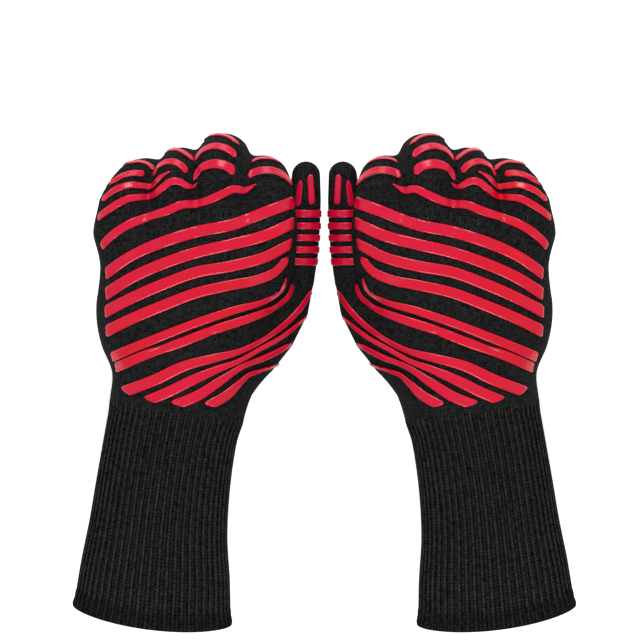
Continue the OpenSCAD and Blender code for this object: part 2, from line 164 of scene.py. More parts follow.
# %% [markdown]
# Black cloth shows its knit only where light grazes it, while shiny rubber shows each lamp as
# a white patch. Two lamps above and below the pair, at a slant, rake over the ribs. Two large
# weak ones at the sides fill the shadows, and one low in front lights the fingers. They are
# soft boxes, because a bare bulb would burn small hard spots into the red.

# %% Lamps and world
WORLD_STRENGTH = 0.42
# Name: place in metres, size in metres, watts
LAMPS = {
    "left_softbox": ((-1.4, 0.2, 0.9), 1.6, 2.0),
    "right_softbox": ((1.4, 0.2, 0.9), 1.6, 2.0),
    "top_softbox": ((0.0, 1.3, 1.3), 0.6, 12.5),
    "low_softbox": ((0.0, -1.3, 1.3), 0.6, 12.5),
    "front_softbox": ((0.0, 1.7, 0.45), 0.6, 3.0),
}


def add_lamp(name, place, size, watts):
    """A square lamp aimed at the origin: tilted by the angle between its aim and straight down,
    then turned about the upright by the compass angle of its aim."""
    lamp = bpy.data.lights.new(name, "AREA")
    lamp.size = size
    lamp.energy = watts
    holder = bpy.data.objects.new(name, lamp)
    holder.location = place
    aim = -np.array(place)
    turn = np.arctan2(np.hypot(aim[0], aim[1]), -aim[2])
    holder.rotation_euler = (turn, 0, np.arctan2(-aim[0], aim[1]))
    bpy.context.scene.collection.objects.link(holder)


for name, (place, size, watts) in LAMPS.items():
    add_lamp(name, place, size, watts)

world = bpy.data.worlds.new("studio")
world.use_nodes = True
world.node_tree.nodes["Background"].inputs["Color"].default_value = colour("#ffffff")
world.node_tree.nodes["Background"].inputs["Strength"].default_value = WORLD_STRENGTH
bpy.context.scene.world = world
bpy.context.scene.view_settings.view_transform = "Standard"
print("lamps:", ", ".join(LAMPS))

# %% [markdown]
# ## From arrays to pieces
# A pair of gloves is one pattern cut twice, the second time turned over. A Mirror modifier
# could make the second, but then one object would belong to both gloves. So the right glove is
# worked out as arrays: points, faces and a UV pair for each corner of each face. For the left
# one x changes sign, and each face is read backwards so that its outside stays outside.

# %% Mesh helper
SIDES = {"right": 1, "left": -1}


def add_pieces(name, points, faces, material, replaced, uv=None):
    """Makes right_NAME and left_NAME from points in millimetres and faces, each on its body."""
    made = []
    for side, sign in SIDES.items():
        co = np.asarray(points, float) * MM * [sign, 1, 1]
        quads = np.asarray(faces)[:, ::sign]
        mesh = bpy.data.meshes.new(f"{side}_{name}")
        mesh.vertices.add(len(co))
        mesh.vertices.foreach_set("co", co.ravel())
        mesh.loops.add(quads.size)
        mesh.loops.foreach_set("vertex_index", quads.ravel())
        mesh.polygons.add(len(quads))
        mesh.polygons.foreach_set("loop_start", np.arange(len(quads)) * quads.shape[1])
        mesh.polygons.foreach_set("use_smooth", np.ones(len(quads), bool))
        mesh.update(calc_edges=True)
        if uv is not None:
            layer = mesh.uv_layers.new(name="knit")
            layer.data.foreach_set("uv", np.asarray(uv, float)[:, ::sign].ravel())
        mesh.validate()
        mesh.materials.append(material)
        piece = bpy.data.objects.new(f"{side}_{name}", mesh)
        bpy.context.scene.collection.objects.link(piece)
        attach(piece, f"{side}_glove")
        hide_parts(*[f"{side}_{node}" for node in replaced])
        made.append(piece)
    print(f"{name}: {len(points)} points, {len(faces)} faces a side")
    return made


def box_mm(node):
    """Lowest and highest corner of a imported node, in millimetres."""
    return np.array(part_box(node)) / MM


def running_length(points):
    """Length along a line of points up to each of them: the running sum of its steps."""
    return np.concatenate([[0], np.cumsum(np.linalg.norm(np.diff(points, axis=0), axis=1))])


def grid_faces(rows, columns, closed_rows=False):
    """Quads of a grid whose columns close up; rows close up too where closed_rows is set."""
    first_rows = np.arange(rows if closed_rows else rows - 1)
    r, c = np.meshgrid(first_rows, np.arange(columns), indexing="ij")
    here, below = r.ravel() * columns, (r.ravel() + 1) % rows * columns
    left, right = c.ravel(), (c.ravel() + 1) % columns
    return np.stack([here + left, below + left, below + right, here + right], axis=1)


def smooth_curve(where, knots, values):
    """Cubic Hermite curve through the knots, its slope at each taken from the two beside it:
    it blends both values and both slopes of a span with four cubics in t, the share along it."""
    knots, values = np.asarray(knots, float), np.asarray(values, float)
    slopes = np.gradient(values, knots, axis=0)
    where = np.clip(where, knots[0], knots[-1])
    i = np.clip(np.searchsorted(knots, where) - 1, 0, len(knots) - 2)
    span = knots[i + 1] - knots[i]
    t = (where - knots[i]) / span
    if values.ndim > 1:
        span, t = span[..., None], t[..., None]
    start = (2 * t ** 3 - 3 * t ** 2 + 1) * values[i] + (t ** 3 - 2 * t ** 2 + t) * span * slopes[i]
    end = (3 * t ** 2 - 2 * t ** 3) * values[i + 1] + (t ** 3 - t ** 2) * span * slopes[i + 1]
    return start + end


print("helpers ready for", ", ".join(SIDES))

# %% [markdown]
# ## The shape of the closed hand
# A tight knit takes the form of the hand in it: a broad back, four knuckles that fold over
# and down, fingertips tucked under, and a thumb laid beside the index finger. It could be
# sculpted, or simulated as cloth on a model of a hand, but neither can be set by a few sizes.
# A distance field can: for any point in space, a function says how far it is from the knit,
# below zero inside. Parts join with a union whose seam is rounded by a chosen number of
# millimetres, as flesh and cloth are. The palm and back are the first part.

# %% Smooth union and the back of the hand
def smooth_union(a, b, k):
    """The smaller of two distances, with a fillet: min(a, b) - h * h * k / 4,
    where h = 1 - |a - b| / k, and 0 where that falls below it."""
    h = np.maximum(k - np.abs(a - b), 0) / k
    return np.minimum(a, b) - h * h * k / 4


def smooth_cut(a, b, k):
    """The larger of two distances, with the same fillet: what lies inside both."""
    return -smooth_union(-a, -b, k)


# Sections of palm and back at places along the hand:
# y, thumb edge x, little finger edge x, top z, underside z, squareness of the section
PALM = np.array([
    [-40, 44.8, 115.5, 68.0, 18.0, 2.1],
    [-24, 43.8, 113.5, 71.0, 22.0, 2.1],
    [-10, 42.6, 111.9, 73.5, 25.5, 2.15],
    [4, 38.5, 110.8, 75.5, 27.0, 2.2],
    [18, 33.0, 116.2, 77.5, 29.0, 2.35],
    [32, 28.5, 118.8, 79.0, 32.0, 2.5],
    [48, 23.5, 117.2, 80.5, 38.0, 2.6],
    [60, 20.0, 111.2, 81.5, 44.0, 2.7],
    [76, 17.0, 118.3, 82.0, 50.0, 2.8],
    [92, 15.0, 119.4, 81.0, 55.0, 2.8],
])
# Where the palm ends, and the fillet that rounds it off there
PALM_END = 90.0
PALM_ROUND = 24.0
# The back is lower on the little finger's side, by this much for each mm across
BACK_LEAN = 0.045


def superellipse_distance(u, v, a, b, n):
    """For |u / a| ** n + |v / b| ** n = 1: about (g - 1) / |slope of g|, g being the n-norm."""
    u, v = np.abs(u) / a, np.abs(v) / b
    g = (u ** n + v ** n + 1e-9) ** (1 / n)
    slope = np.hypot((u / g) ** (n - 1) / a, (v / g) ** (n - 1) / b)
    return (g - 1) / slope


def palm_distance(p):
    """A superellipse section at each y, rounded off where the fingers begin."""
    left, right, top, low, n = smooth_curve(p[:, 1], PALM[:, 0], PALM[:, 1:]).T
    middle = (left + right) / 2
    z = p[:, 2] + BACK_LEAN * (p[:, 0] - middle) - (top + low) / 2
    section = superellipse_distance(p[:, 0] - middle, z, (right - left) / 2, (top - low) / 2, n)
    return smooth_cut(section, p[:, 1] - PALM_END, PALM_ROUND)


print("palm sections:", len(PALM))

# %% [markdown]
# Each finger stall is a flattened round bar, bent three times. A curve object with a bevel could
# carry it, but its tube can't join the hand without a seam. So only its path is made here, in
# an upright plane: out from the back of the hand, over the knuckle, down, under, and up again
# at the tip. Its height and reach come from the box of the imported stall.

# %% Finger paths
# Radius of the path over the knuckle, and in the two bends under it
BEND = 10.0
UNDER_BEND = 9.0
# Straight run between the two, degrees of the last bend, and straight run at the tip
UNDER_RUN = 13.0
TIP_TURN = 80.0
TIP_RUN = 5.0
# Run from the root to the knuckle, and where the finger starts to move to the side
ROOT_RUN = 36.0
SIDE_START = 37.0
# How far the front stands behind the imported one, and the lower bend behind the upper
FRONT_BACK = 0.4
UNDER_BACK = 3.0
# Depth of the path under the knuckle's height, at the root and half way to the knuckle
ROOT_DROPS = (5.0, 1.0)
# Run past the knuckle to the front's sideways place, and to where the tip starts to slim
FRONT_RUN = 4.0
SLIM_RUN = 25.0
# Share of the full width at the root, the knuckle, the front and the tip
FINGER_SLIM = [0.96, 1.0, 0.96, 0.82]
# Sideways place at the knuckle, over the front and at the tip; half width; half thickness
FINGERS = {
    "index": (29.0, 32.8, 33.0, 13.4, 13.1),
    "middle": (53.4, 52.2, 53.6, 13.9, 13.3),
    "ring": (78.2, 73.2, 74.0, 12.0, 12.4),
    "little": (103.6, 90.5, 92.0, 12.9, 11.8),
}


def arc(centre_y, centre_z, radius, start, end, steps=7):
    """Points on a circle: centre + radius * (cos, sin) of even angles, in degrees, as y and z."""
    angle = np.radians(np.linspace(start, end, steps))
    return np.stack([centre_y + radius * np.cos(angle), centre_z + radius * np.sin(angle)], axis=1)


def finger_path(name):
    """Rows of y, z, x, half width, half thickness, from inside the hand to the fingertip."""
    (_, _, low), (_, front, top) = box_mm(f"right_{name}_stall")
    x_root, x_front, x_tip, half_width, half_thick = FINGERS[name]
    front -= FRONT_BACK
    bend_y, bend_z = front - half_thick - BEND, top - half_thick - BEND
    under_z = low + half_thick + UNDER_BEND
    under_y = front - half_thick - UNDER_BEND - UNDER_BACK
    last_y = under_y - UNDER_RUN
    tip = arc(last_y, under_z, UNDER_BEND, -90, -90 - TIP_TURN)
    ahead = tip[-1] - tip[-2]
    line = np.vstack([
        [[bend_y - ROOT_RUN, bend_z + BEND - ROOT_DROPS[0]],
         [bend_y - ROOT_RUN / 2, bend_z + BEND - ROOT_DROPS[1]]],
        arc(bend_y, bend_z, BEND, 90, 0),
        arc(under_y, under_z, UNDER_BEND, 0, -90),
        tip,
        [tip[-1] + ahead / np.hypot(*ahead) * TIP_RUN],
    ])
    along = running_length(line)
    front_at = ROOT_RUN + BEND * np.pi / 2
    x = smooth_curve(along, [0, SIDE_START, front_at + FRONT_RUN, along[-1]],
                     [x_root, x_root, x_front, x_tip])
    slim = smooth_curve(along, [0, ROOT_RUN, front_at + SLIM_RUN, along[-1]], FINGER_SLIM)
    return np.column_stack([line, x, half_width * slim, half_thick * slim, along])


finger_paths = {name: finger_path(name) for name in FINGERS}
print("finger lengths:", {name: round(path[-1, 5]) for name, path in finger_paths.items()}, "mm")

# %% [markdown]
# The thumb stall needs no upright plane: it is a chain of balls that swell at the ball of the
# thumb and shrink to the tip. Fingers and thumb share one rule. The nearest of a chain's
# segments gives a point's distance from it, and how far along it the point lies, which tells
# how wide the stall is there. The segments are straight, but none turns by more than 15
# degrees from the one before, and soft cloth hides that.

# %% Finger and thumb distances
FINGER_SQUARE = 2.05
# Middle of the thumb and its radius, from inside the wrist to the tip: x, y, z, radius
THUMB = np.array([
    [60.5, -14, 50, 14.8],
    [51.0, 0, 47, 13.8],
    [41.7, 14, 44, 17.3],
    [31.4, 27, 43, 17.3],
    [23.0, 40, 42, 15.6],
    [17.4, 53, 42.5, 12.3],
    [13.8, 66, 43.5, 10.6],
    [11.2, 80, 44.5, 9.0],
    [10.2, 94, 45, 8.4],
    [9.6, 106.4, 45, 7.4],
])


def nearest_on_chain(p, chain, axes):
    """Distance to a chain of segments, and the chain's other columns where it is nearest."""
    best = np.full(len(p), 1e9)
    near = np.zeros((len(p), chain.shape[1] - axes))
    for start, end in zip(chain[:-1], chain[1:]):
        step = end - start
        offset = p - start[:axes]
        t = np.clip(offset @ step[:axes] / (step[:axes] @ step[:axes]), 0, 1)
        gap = np.linalg.norm(offset - t[:, None] * step[:axes], axis=1)
        closer = gap < best
        best[closer] = gap[closer]
        near[closer] = start[axes:] + t[closer, None] * step[axes:]
    return best, near


def finger_distance(p, name):
    """Superellipse section around the path: sideways offset against distance in its plane."""
    gap, near = nearest_on_chain(p[:, 1:], finger_paths[name], 2)
    return superellipse_distance(p[:, 0] - near[:, 0], gap, near[:, 1], near[:, 2], FINGER_SQUARE)


def thumb_distance(p):
    """Distance to the chain less its radius there."""
    gap, near = nearest_on_chain(p, THUMB, 3)
    return gap - near[:, 0]


tips = np.array([path[-1, [2, 0, 1]] for path in finger_paths.values()])
print("fingertips, x y z in mm:", tips.round().tolist())

# %% [markdown]
# The whole hand joins these. Between two fingers the knit keeps a deep narrow valley, so that
# fillet is small. The back runs into the fingers with a wide one. The thumb grows out of the
# wrist with a wide fillet, too, which narrows to nothing where the thumb stands free. Where the
# thumb pulls, the cloth folds. Simulated folds would fall elsewhere each time a size changes,
# so these are grooves along lines drawn on the plan, faded out at their ends.

# %% The whole hand
# Fillets: between fingers, of the fingers with the back, of the thumb at its root and where it
# is free, and at the table
FINGER_FILLET = 5.0
BACK_FILLET = 9.0
THUMB_FILLET = 12.0
FREE_FILLET = 1.0
TABLE_FILLET = 1.5
# y at which the thumb starts to come free, and at which it is free
THUMB_FREE = (44.0, 66.0)
# To save time a finger is left out where it is this far off to the side, and below this y
FAR = 22.0
FINGERS_FROM = 20.0
# Depth, width, then points (x, y)
FOLDS = [
    (1.1, 1.2, [(62, 5), (46, 12), (34, 17.6), (22, 25.2), (12, 34)]),
    (0.9, 1.0, [(40, 9.2), (32, 13.2), (22, 18.2), (14, 25)]),
    (1.1, 1.2, [(60, -8), (52, -4), (46, 2), (40, 5), (30, 8.8), (22, 12.6)]),
    (0.9, 1.1, [(96, 11.6), (84, 17.4), (66, 25.5), (48, 32.6), (30, 39.4), (23, 43.8),
                (18.6, 50.5)]),
    (0.8, 1.6, [(68, 26), (52, 22.5), (38, 24.5), (26, 30), (17, 38)]),
]
# Folds start at this height and are full FOLD_FADE above it. They change the field only as
# near to the surface as FOLD_NEAR, and up to so many widths from their line
FOLD_LOW = 42.0
FOLD_FADE = 8.0
FOLD_NEAR = 8.0
FOLD_REACH = 4
# Part of half a sine wave that gives a fold its depth from end to end
FOLD_SPAN = (0.12, 0.88)


def fold_depth(p):
    """Depth of all folds at each point: depth * exp(-(gap / width) ** 2), strongest half way
    along the line like half a sine wave, and faded in with height."""
    depth = np.zeros(len(p))
    for deep, wide, points in FOLDS:
        line = np.asarray(points, float)
        low, high = line.min(axis=0) - FOLD_REACH * wide, line.max(axis=0) + FOLD_REACH * wide
        close = ((p[:, :2] > low) & (p[:, :2] < high)).all(axis=1) & (p[:, 2] > FOLD_LOW)
        strength = deep * np.sin(np.pi * np.linspace(*FOLD_SPAN, len(line)))
        gap, near = nearest_on_chain(p[close, :2], np.column_stack([line, strength]), 2)
        fade = np.clip((p[close, 2] - FOLD_LOW) / FOLD_FADE, 0, 1)
        depth[close] += near[:, 0] * np.exp(-(gap / wide) ** 2) * fade
    return depth


def glove_distance(p):
    """Millimetres from each point to the outside of the knit, negative inside: the smooth union
    of palm, fingers and thumb, with the folds taken off, cut level at the table."""
    distance = palm_distance(p)
    row = np.full(len(p), 1e3)
    for name, (x_root, x_front, x_tip, half_width, _) in FINGERS.items():
        xs = (x_root, x_front, x_tip)
        reach = half_width + FAR
        close = (p[:, 0] > min(xs) - reach) & (p[:, 0] < max(xs) + reach) & (p[:, 1] > FINGERS_FROM)
        row[close] = smooth_union(row[close], finger_distance(p[close], name), FINGER_FILLET)
    distance = smooth_union(distance, row, BACK_FILLET)
    free = np.clip((p[:, 1] - THUMB_FREE[0]) / (THUMB_FREE[1] - THUMB_FREE[0]), 0, 1)
    fillet = THUMB_FILLET + (FREE_FILLET - THUMB_FILLET) * free
    distance = smooth_union(distance, thumb_distance(p), fillet)
    surface = np.abs(distance) < FOLD_NEAR
    distance[surface] += fold_depth(p[surface])
    return smooth_cut(distance, -p[:, 2], TABLE_FILLET)


def slope(p, step=0.25):
    """Gradient of the distance: (what is ahead - what is behind) / (2 * step) on each axis."""
    offsets = np.eye(3) * step
    ahead = glove_distance(np.concatenate([p + o for o in offsets]))
    behind = glove_distance(np.concatenate([p - o for o in offsets]))
    return ((ahead - behind) / (2 * step)).reshape(3, -1).T


def outward(p):
    """Unit vector out of the knit at each point."""
    g = slope(p)
    return g / np.maximum(np.linalg.norm(g, axis=1, keepdims=True), 1e-6)


def onto_knit(p, depth=0.0, turns=3):
    """Moves points along the gradient g until they lie depth millimetres under the outside. Each
    turn is one step of Newton's method: (distance + depth) / |g| ** 2 * g."""
    for _ in range(turns):
        g = slope(p)
        size = np.maximum((g ** 2).sum(axis=1), 0.05)
        p = p - ((glove_distance(p) + depth) / size)[:, None] * g
    return p


centre = np.array([[65.0, 40.0, 60.0], [65.0, 40.0, 120.0]])
print("distance inside the hand and above it:", glove_distance(centre).round(1))

# %% [markdown]
# ## The fabrics
# The outside of the hand is a fine aramid jersey: yarn loops that show as columns of small V
# shapes, here 1.7 mm wide and 1.3 mm tall. Loops as real geometry would take millions of
# faces, so a height built from two waves stands in for them: one runs along the slanted legs,
# and one rounds each leg and leaves a groove between the columns.

# %% Knit height
# Power that narrows the rounded leg, and how much of its height dips from loop to loop
LEG_ROUNDNESS = 1.2
LOOP_SHARE = 0.85


def stitch_height(tree, across, along, wale, course, centre=0.0, slant=0.8):
    """sin(pi * c) ** 1.2 * (0.15 + 0.85 * sin(pi * s)): a is the share from the middle of a column
    to its edge, c runs from centre to 1 with a, and s is the share of the way along a leg that
    slants with a. With centre 0 a groove parts the two legs, above 0 they meet."""
    column = add_node(tree, "Math", "MULTIPLY_ADD", across, 1 / wale, 0.5)
    off = add_node(tree, "Math", "SUBTRACT", add_node(tree, "Math", "FRACT", column), 0.5)
    a = add_node(tree, "Math", "MULTIPLY", add_node(tree, "Math", "ABSOLUTE", off), 2.0)
    c = add_node(tree, "Math", "MULTIPLY_ADD", a, np.pi * (1 - centre), np.pi * centre)
    leg = add_node(tree, "Math", "POWER", add_node(tree, "Math", "SINE", c), LEG_ROUNDNESS)
    row = add_node(tree, "Math", "DIVIDE", along, course)
    row = add_node(tree, "Math", "SUBTRACT", row, add_node(tree, "Math", "MULTIPLY", a, slant))
    s = add_node(tree, "Math", "MULTIPLY", add_node(tree, "Math", "FRACT", row), np.pi)
    loop = add_node(tree, "Math", "SINE", s)
    loop = add_node(tree, "Math", "MULTIPLY_ADD", loop, LOOP_SHARE, 1 - LOOP_SHARE)
    return add_node(tree, "Math", "MULTIPLY", leg, loop)


print("stitch: leg power", LEG_ROUNDNESS, "and loop share", LOOP_SHARE)

# %% [markdown]
# Bump alone can't show black cloth under flat light, as nothing on it is bright enough to
# shade. So the same height also drives the colour: black in the grooves, dark grey on the
# crests. That is painted shade in the grooves and painted light on the crests, as the yarn
# itself has one colour throughout. Spun yarn is never even, so two noises are mixed in, one as
# large as a few stitches and one as fine as the fuzz of fibres. The fuzz of real yarn is far
# finer than 0.9 mm. It is drawn that coarse because less wouldn't show.

# %% Cloth
# Sizes of the unevenness in mm, then how strong it is
YARN_PATCH = 2.381
YARN_FUZZ = 0.9091
PATCH_SHARE = 3.0
FUZZ_SHARE = 1.2
CLOTH_ROUGHNESS = 0.92
CLOTH_SPECULAR = 0.08
CLOTH_BUMP = 0.8
# Where c starts in the middle of a rib's columns, so that no groove parts their legs
RIB_CENTRE = 0.35


def knit_material(name, groove, crest, wale, course, relief, rib_shade=0.0):
    """Cloth whose colour runs from groove to crest by height * (3 * patch - 0.5) plus
    1.2 * (fuzz - 0.5), both noises between 0 and 1: painted shade in the grooves and painted
    light on the crests. Ribbed cloth multiplies that by 1 - rib_shade * (1 - sin(pi * u) ** 2),
    which paints shade between its ribs."""
    material, tree = new_material(name)
    uv = add_node(tree, "UVMap", {"uv_map": "knit"})
    split = add_node(tree, "SeparateXYZ", {}, uv)
    across, along = split.outputs[0], split.outputs[1]
    height = stitch_height(tree, across, along, wale, course, RIB_CENTRE if rib_shade else 0.0)
    place = add_node(tree, "TexCoord", {}).outputs["Object"]
    patch = add_node(tree, "TexNoise", {}, Vector=place, Scale=1 / (YARN_PATCH * MM), Detail=3.0)
    fuzz = add_node(tree, "TexNoise", {}, Vector=place, Scale=1 / (YARN_FUZZ * MM), Detail=2.0)
    patch = add_node(tree, "Math", "MULTIPLY_ADD", patch, PATCH_SHARE, 1 - PATCH_SHARE / 2)
    level = add_node(tree, "Math", "MULTIPLY", height, patch)
    level = add_node(tree, "Math", "SUBTRACT", level, FUZZ_SHARE / 2)
    level = add_node(tree, "Math", "MULTIPLY_ADD", fuzz, FUZZ_SHARE, level)
    # Painted shade: the cloth turns darker between the ribs
    if rib_shade:
        rib = add_node(tree, "Math", "MULTIPLY", add_node(tree, "Math", "FRACT", across), np.pi)
        crown = add_node(tree, "Math", "POWER", add_node(tree, "Math", "SINE", rib), 2.0)
        crown = add_node(tree, "Math", "MULTIPLY_ADD", crown, rib_shade, 1 - rib_shade)
        level = add_node(tree, "Math", "MULTIPLY", level, crown)
    # The yarn's colour, with painted shade in its grooves and painted light on its crests
    yarn_and_painted_shade = add_node(tree, "Mix", {"data_type": "RGBA"}, level, _6=colour(groove), _7=colour(crest))
    bump = add_node(tree, "Bump", {}, Height=height, Strength=CLOTH_BUMP, Distance=relief * MM)
    cloth = add_node(tree, "BsdfPrincipled", {}, Base_Color=yarn_and_painted_shade.outputs[2], Normal=bump,
                     Roughness=CLOTH_ROUGHNESS, Specular_IOR_Level=CLOTH_SPECULAR)
    finish_material(tree, cloth)
    return material


# Plain jersey, all sizes in mm: dull, with a grain of fine upright columns
aramid = knit_material("black_aramid_jersey", "#000000", "#373a38",
                       wale=1.7, course=1.3, relief=0.6)
# Ribbed knit, its wale as a share of a rib: light crests and black furrows, like corduroy, the
# furrows darkened with painted shade
rib_knit = knit_material("black_rib_knit", "#000000", "#403e3c",
                         wale=0.5, course=1.7, relief=0.7, rib_shade=0.5)
# Sewing thread over the folded edge: a little darker and flatter than the ribs
hem_yarn = knit_material("black_overlock_thread", "#000000", "#302e2c",
                         wale=0.5, course=1.5, relief=0.6, rib_shade=0.3)
# Undyed cotton, off-white and soft, because no light ever bleaches the inside
cotton = knit_material("undyed_cotton_jersey", "#a79f8f", "#e6dfd0",
                       wale=1.5, course=1.2, relief=0.3)
print("fabrics:", aramid.name, rib_knit.name, hem_yarn.name, cotton.name)

# %% [markdown]
# Silicone is poured on through a stencil and cured. It stands about a millimetre proud, its
# top is smooth and glossy, and its thin edges look darker because light sinks into them and
# shade gathers at their foot. Real scattering and shadow would show that edge, but scattering
# takes long to render, so the colour turns to maroon near the edge instead: painted shade.
# Cast rubber is never flat: a swell of 8 mm breaks up its highlights, and the weave below
# comes through as a grain of 1.4 mm.

# %% Silicone
# Shares of the half width between which the edge turns dark with painted shade
EDGE_START, EDGE_END = 0.84, 0.94
# Sizes in mm: of the drift from red to pink (a painted sheen), of the grain, and of the swell
RED_DRIFT = 71.43
RUBBER_GRAIN = 1.4286
RUBBER_SWELL = 7.692
GRAIN_SHARE = 0.35
# Strength of the bump, and the height in mm that it stands for
RUBBER_BUMP = 0.35
RUBBER_RELIEF = 0.6
RUBBER_ROUGHNESS = 0.24
SILICONE_IOR = 1.43

silicone, tree = new_material("red_poured_silicone")
uv = add_node(tree, "UVMap", {"uv_map": "knit"})
away = add_node(tree, "Math", "ABSOLUTE", add_node(tree, "SeparateXYZ", {}, uv))
# Painted shade: the colour turns maroon towards the stripe's edge
painted_edge_shade = add_node(tree, "MapRange", {"interpolation_type": "SMOOTHSTEP"},
                away, EDGE_START, EDGE_END, 0.0, 1.0)
place = add_node(tree, "TexCoord", {}).outputs["Object"]
# Painted sheen: the red drifts to pink at random, standing in for soft highlights
painted_sheen_drift = add_node(tree, "TexNoise", {}, Vector=place, Scale=1 / (RED_DRIFT * MM), Detail=2.0)
body = add_node(tree, "Mix", {"data_type": "RGBA"}, painted_sheen_drift,
                _6=colour("#de0410"), _7=colour("#dc0e48"))
skin = add_node(tree, "Mix", {"data_type": "RGBA"}, painted_edge_shade, _6=body.outputs[2], _7=colour("#34000a"))
grain = add_node(tree, "TexNoise", {}, Vector=place, Scale=1 / (RUBBER_GRAIN * MM), Detail=2.0)
swell = add_node(tree, "TexNoise", {}, Vector=place, Scale=1 / (RUBBER_SWELL * MM), Detail=1.0)
height = add_node(tree, "Math", "MULTIPLY_ADD", grain, GRAIN_SHARE, swell)
bump = add_node(tree, "Bump", {}, Height=height, Strength=RUBBER_BUMP, Distance=RUBBER_RELIEF * MM)
finish_material(tree, add_node(tree, "BsdfPrincipled", {}, Base_Color=skin.outputs[2], Normal=bump,
                               Roughness=RUBBER_ROUGHNESS, IOR=SILICONE_IOR))
print("rubber:", silicone.name)

# %% [markdown]
# ## The knitted hand
# The knit of hand, fingers and thumb is one seamless surface on the real glove, so one mesh
# stands for it. Metaballs could make it as well, but they leave no say in each fillet. So the
# field is sampled on a lattice, and the surface where it crosses zero is taken out of it as
# quads. Each point is then moved along the gradient onto the true surface, which removes the
# lattice's small steps. The knit ends inside the cuff, along the slanted wrist.

# %% Knit surface
# y of the wrist seam at the thumb's and the little finger's edge, x of those, and their height
WRIST_EDGE = (-19.5, -9.0)
WRIST_X = (42.0, 111.5)
WRIST_Z = 49.0
# Angle by which the cuff falls to the hem, which tips the seam as well
CUFF_FALL = np.radians(7.0)
# How far the knit runs on inside the cuff, and how it sinks there: run, depth, and ease
TUCK = 7.0
TUCK_SLOPE = 5.0
TUCK_DEPTH = 2.0
TUCK_EASE = 1.3
# Corners of the lattice, and the distance past which it needs no true value
FIELD_LOW = np.array([-3.0, -44.0, -3.0])
FIELD_HIGH = np.array([126.0, 134.0, 93.0])
FIELD_LIMIT = 10.0
# What belongs to the cap over the wrist: so near its plane, so deep inside, in cells
CAP_NEAR = 0.45
CAP_DEPTH = 0.35
CELL = 1.4


def wrist_line(p):
    """y of the wrist seam beside each point: slanted across the hand, and tipped with height."""
    share = (p[:, 0] - WRIST_X[0]) / (WRIST_X[1] - WRIST_X[0])
    slant = WRIST_EDGE[0] + share * (WRIST_EDGE[1] - WRIST_EDGE[0])
    return slant - np.tan(CUFF_FALL) * (p[:, 2] - WRIST_Z)


def knit_surface(cell, depth, tuck):
    """Points and quads where the distance is -depth. The cap at the wrist is taken off, and the
    edge sinks in by TUCK_DEPTH * share ** TUCK_EASE, so that it hides inside the cuff."""
    axes = [np.arange(FIELD_LOW[i], FIELD_HIGH[i], cell) for i in range(3)]
    lattice = np.stack(np.meshgrid(*axes, indexing="ij"), axis=-1).reshape(-1, 3)
    field = glove_distance(lattice) + depth
    below = wrist_line(lattice) - tuck - lattice[:, 1]
    field = np.maximum(field, below).reshape([len(axis) for axis in axes])
    grid = openvdb.FloatGrid(background=FIELD_LIMIT)
    grid.copyFromArray(np.clip(field, -FIELD_LIMIT, FIELD_LIMIT).astype(np.float32))
    points, quads = grid.convertToQuads(0.0)
    points = FIELD_LOW + points * cell
    quads = quads.astype(int)
    on_cap = np.abs(wrist_line(points) - tuck - points[:, 1]) < CAP_NEAR * cell
    inside = glove_distance(points) + depth < -CAP_DEPTH * cell
    quads = quads[~(on_cap & inside)[quads].any(axis=1)]
    used, flat = np.unique(quads, return_inverse=True)
    points = onto_knit(points[used], depth)
    under_cuff = np.clip((wrist_line(points) - points[:, 1]) / TUCK_SLOPE, 0, 1) ** TUCK_EASE
    return points - outward(points) * (TUCK_DEPTH * under_cuff)[:, None], flat.reshape(quads.shape)


knit_points, knit_quads = knit_surface(CELL, 0.0, TUCK)
print("knit:", len(knit_points), "points in cells of", CELL, "mm")

# %% [markdown]
# The stitches need to know their place: which column of loops, and which row. Unwrapping along
# seams would give islands on which the columns run every way. On the real glove a column runs
# from the wrist to a fingertip, so the place comes from the paths that gave the form: v runs
# along the hand, a finger or the thumb, and u runs around it, both in mm.

# %% Columns and rows of the knit
# How much each mm of height adds to the way around, for a side that isn't quite upright
DROP_RUN = 0.8
# mm by which a face must be nearer to a finger or the thumb, to belong to it
PALM_FIRST = 2.0
KNIT_NODES = ["hand_knit", "index_stall", "middle_stall", "ring_stall", "little_stall",
              "thumb_stall"]


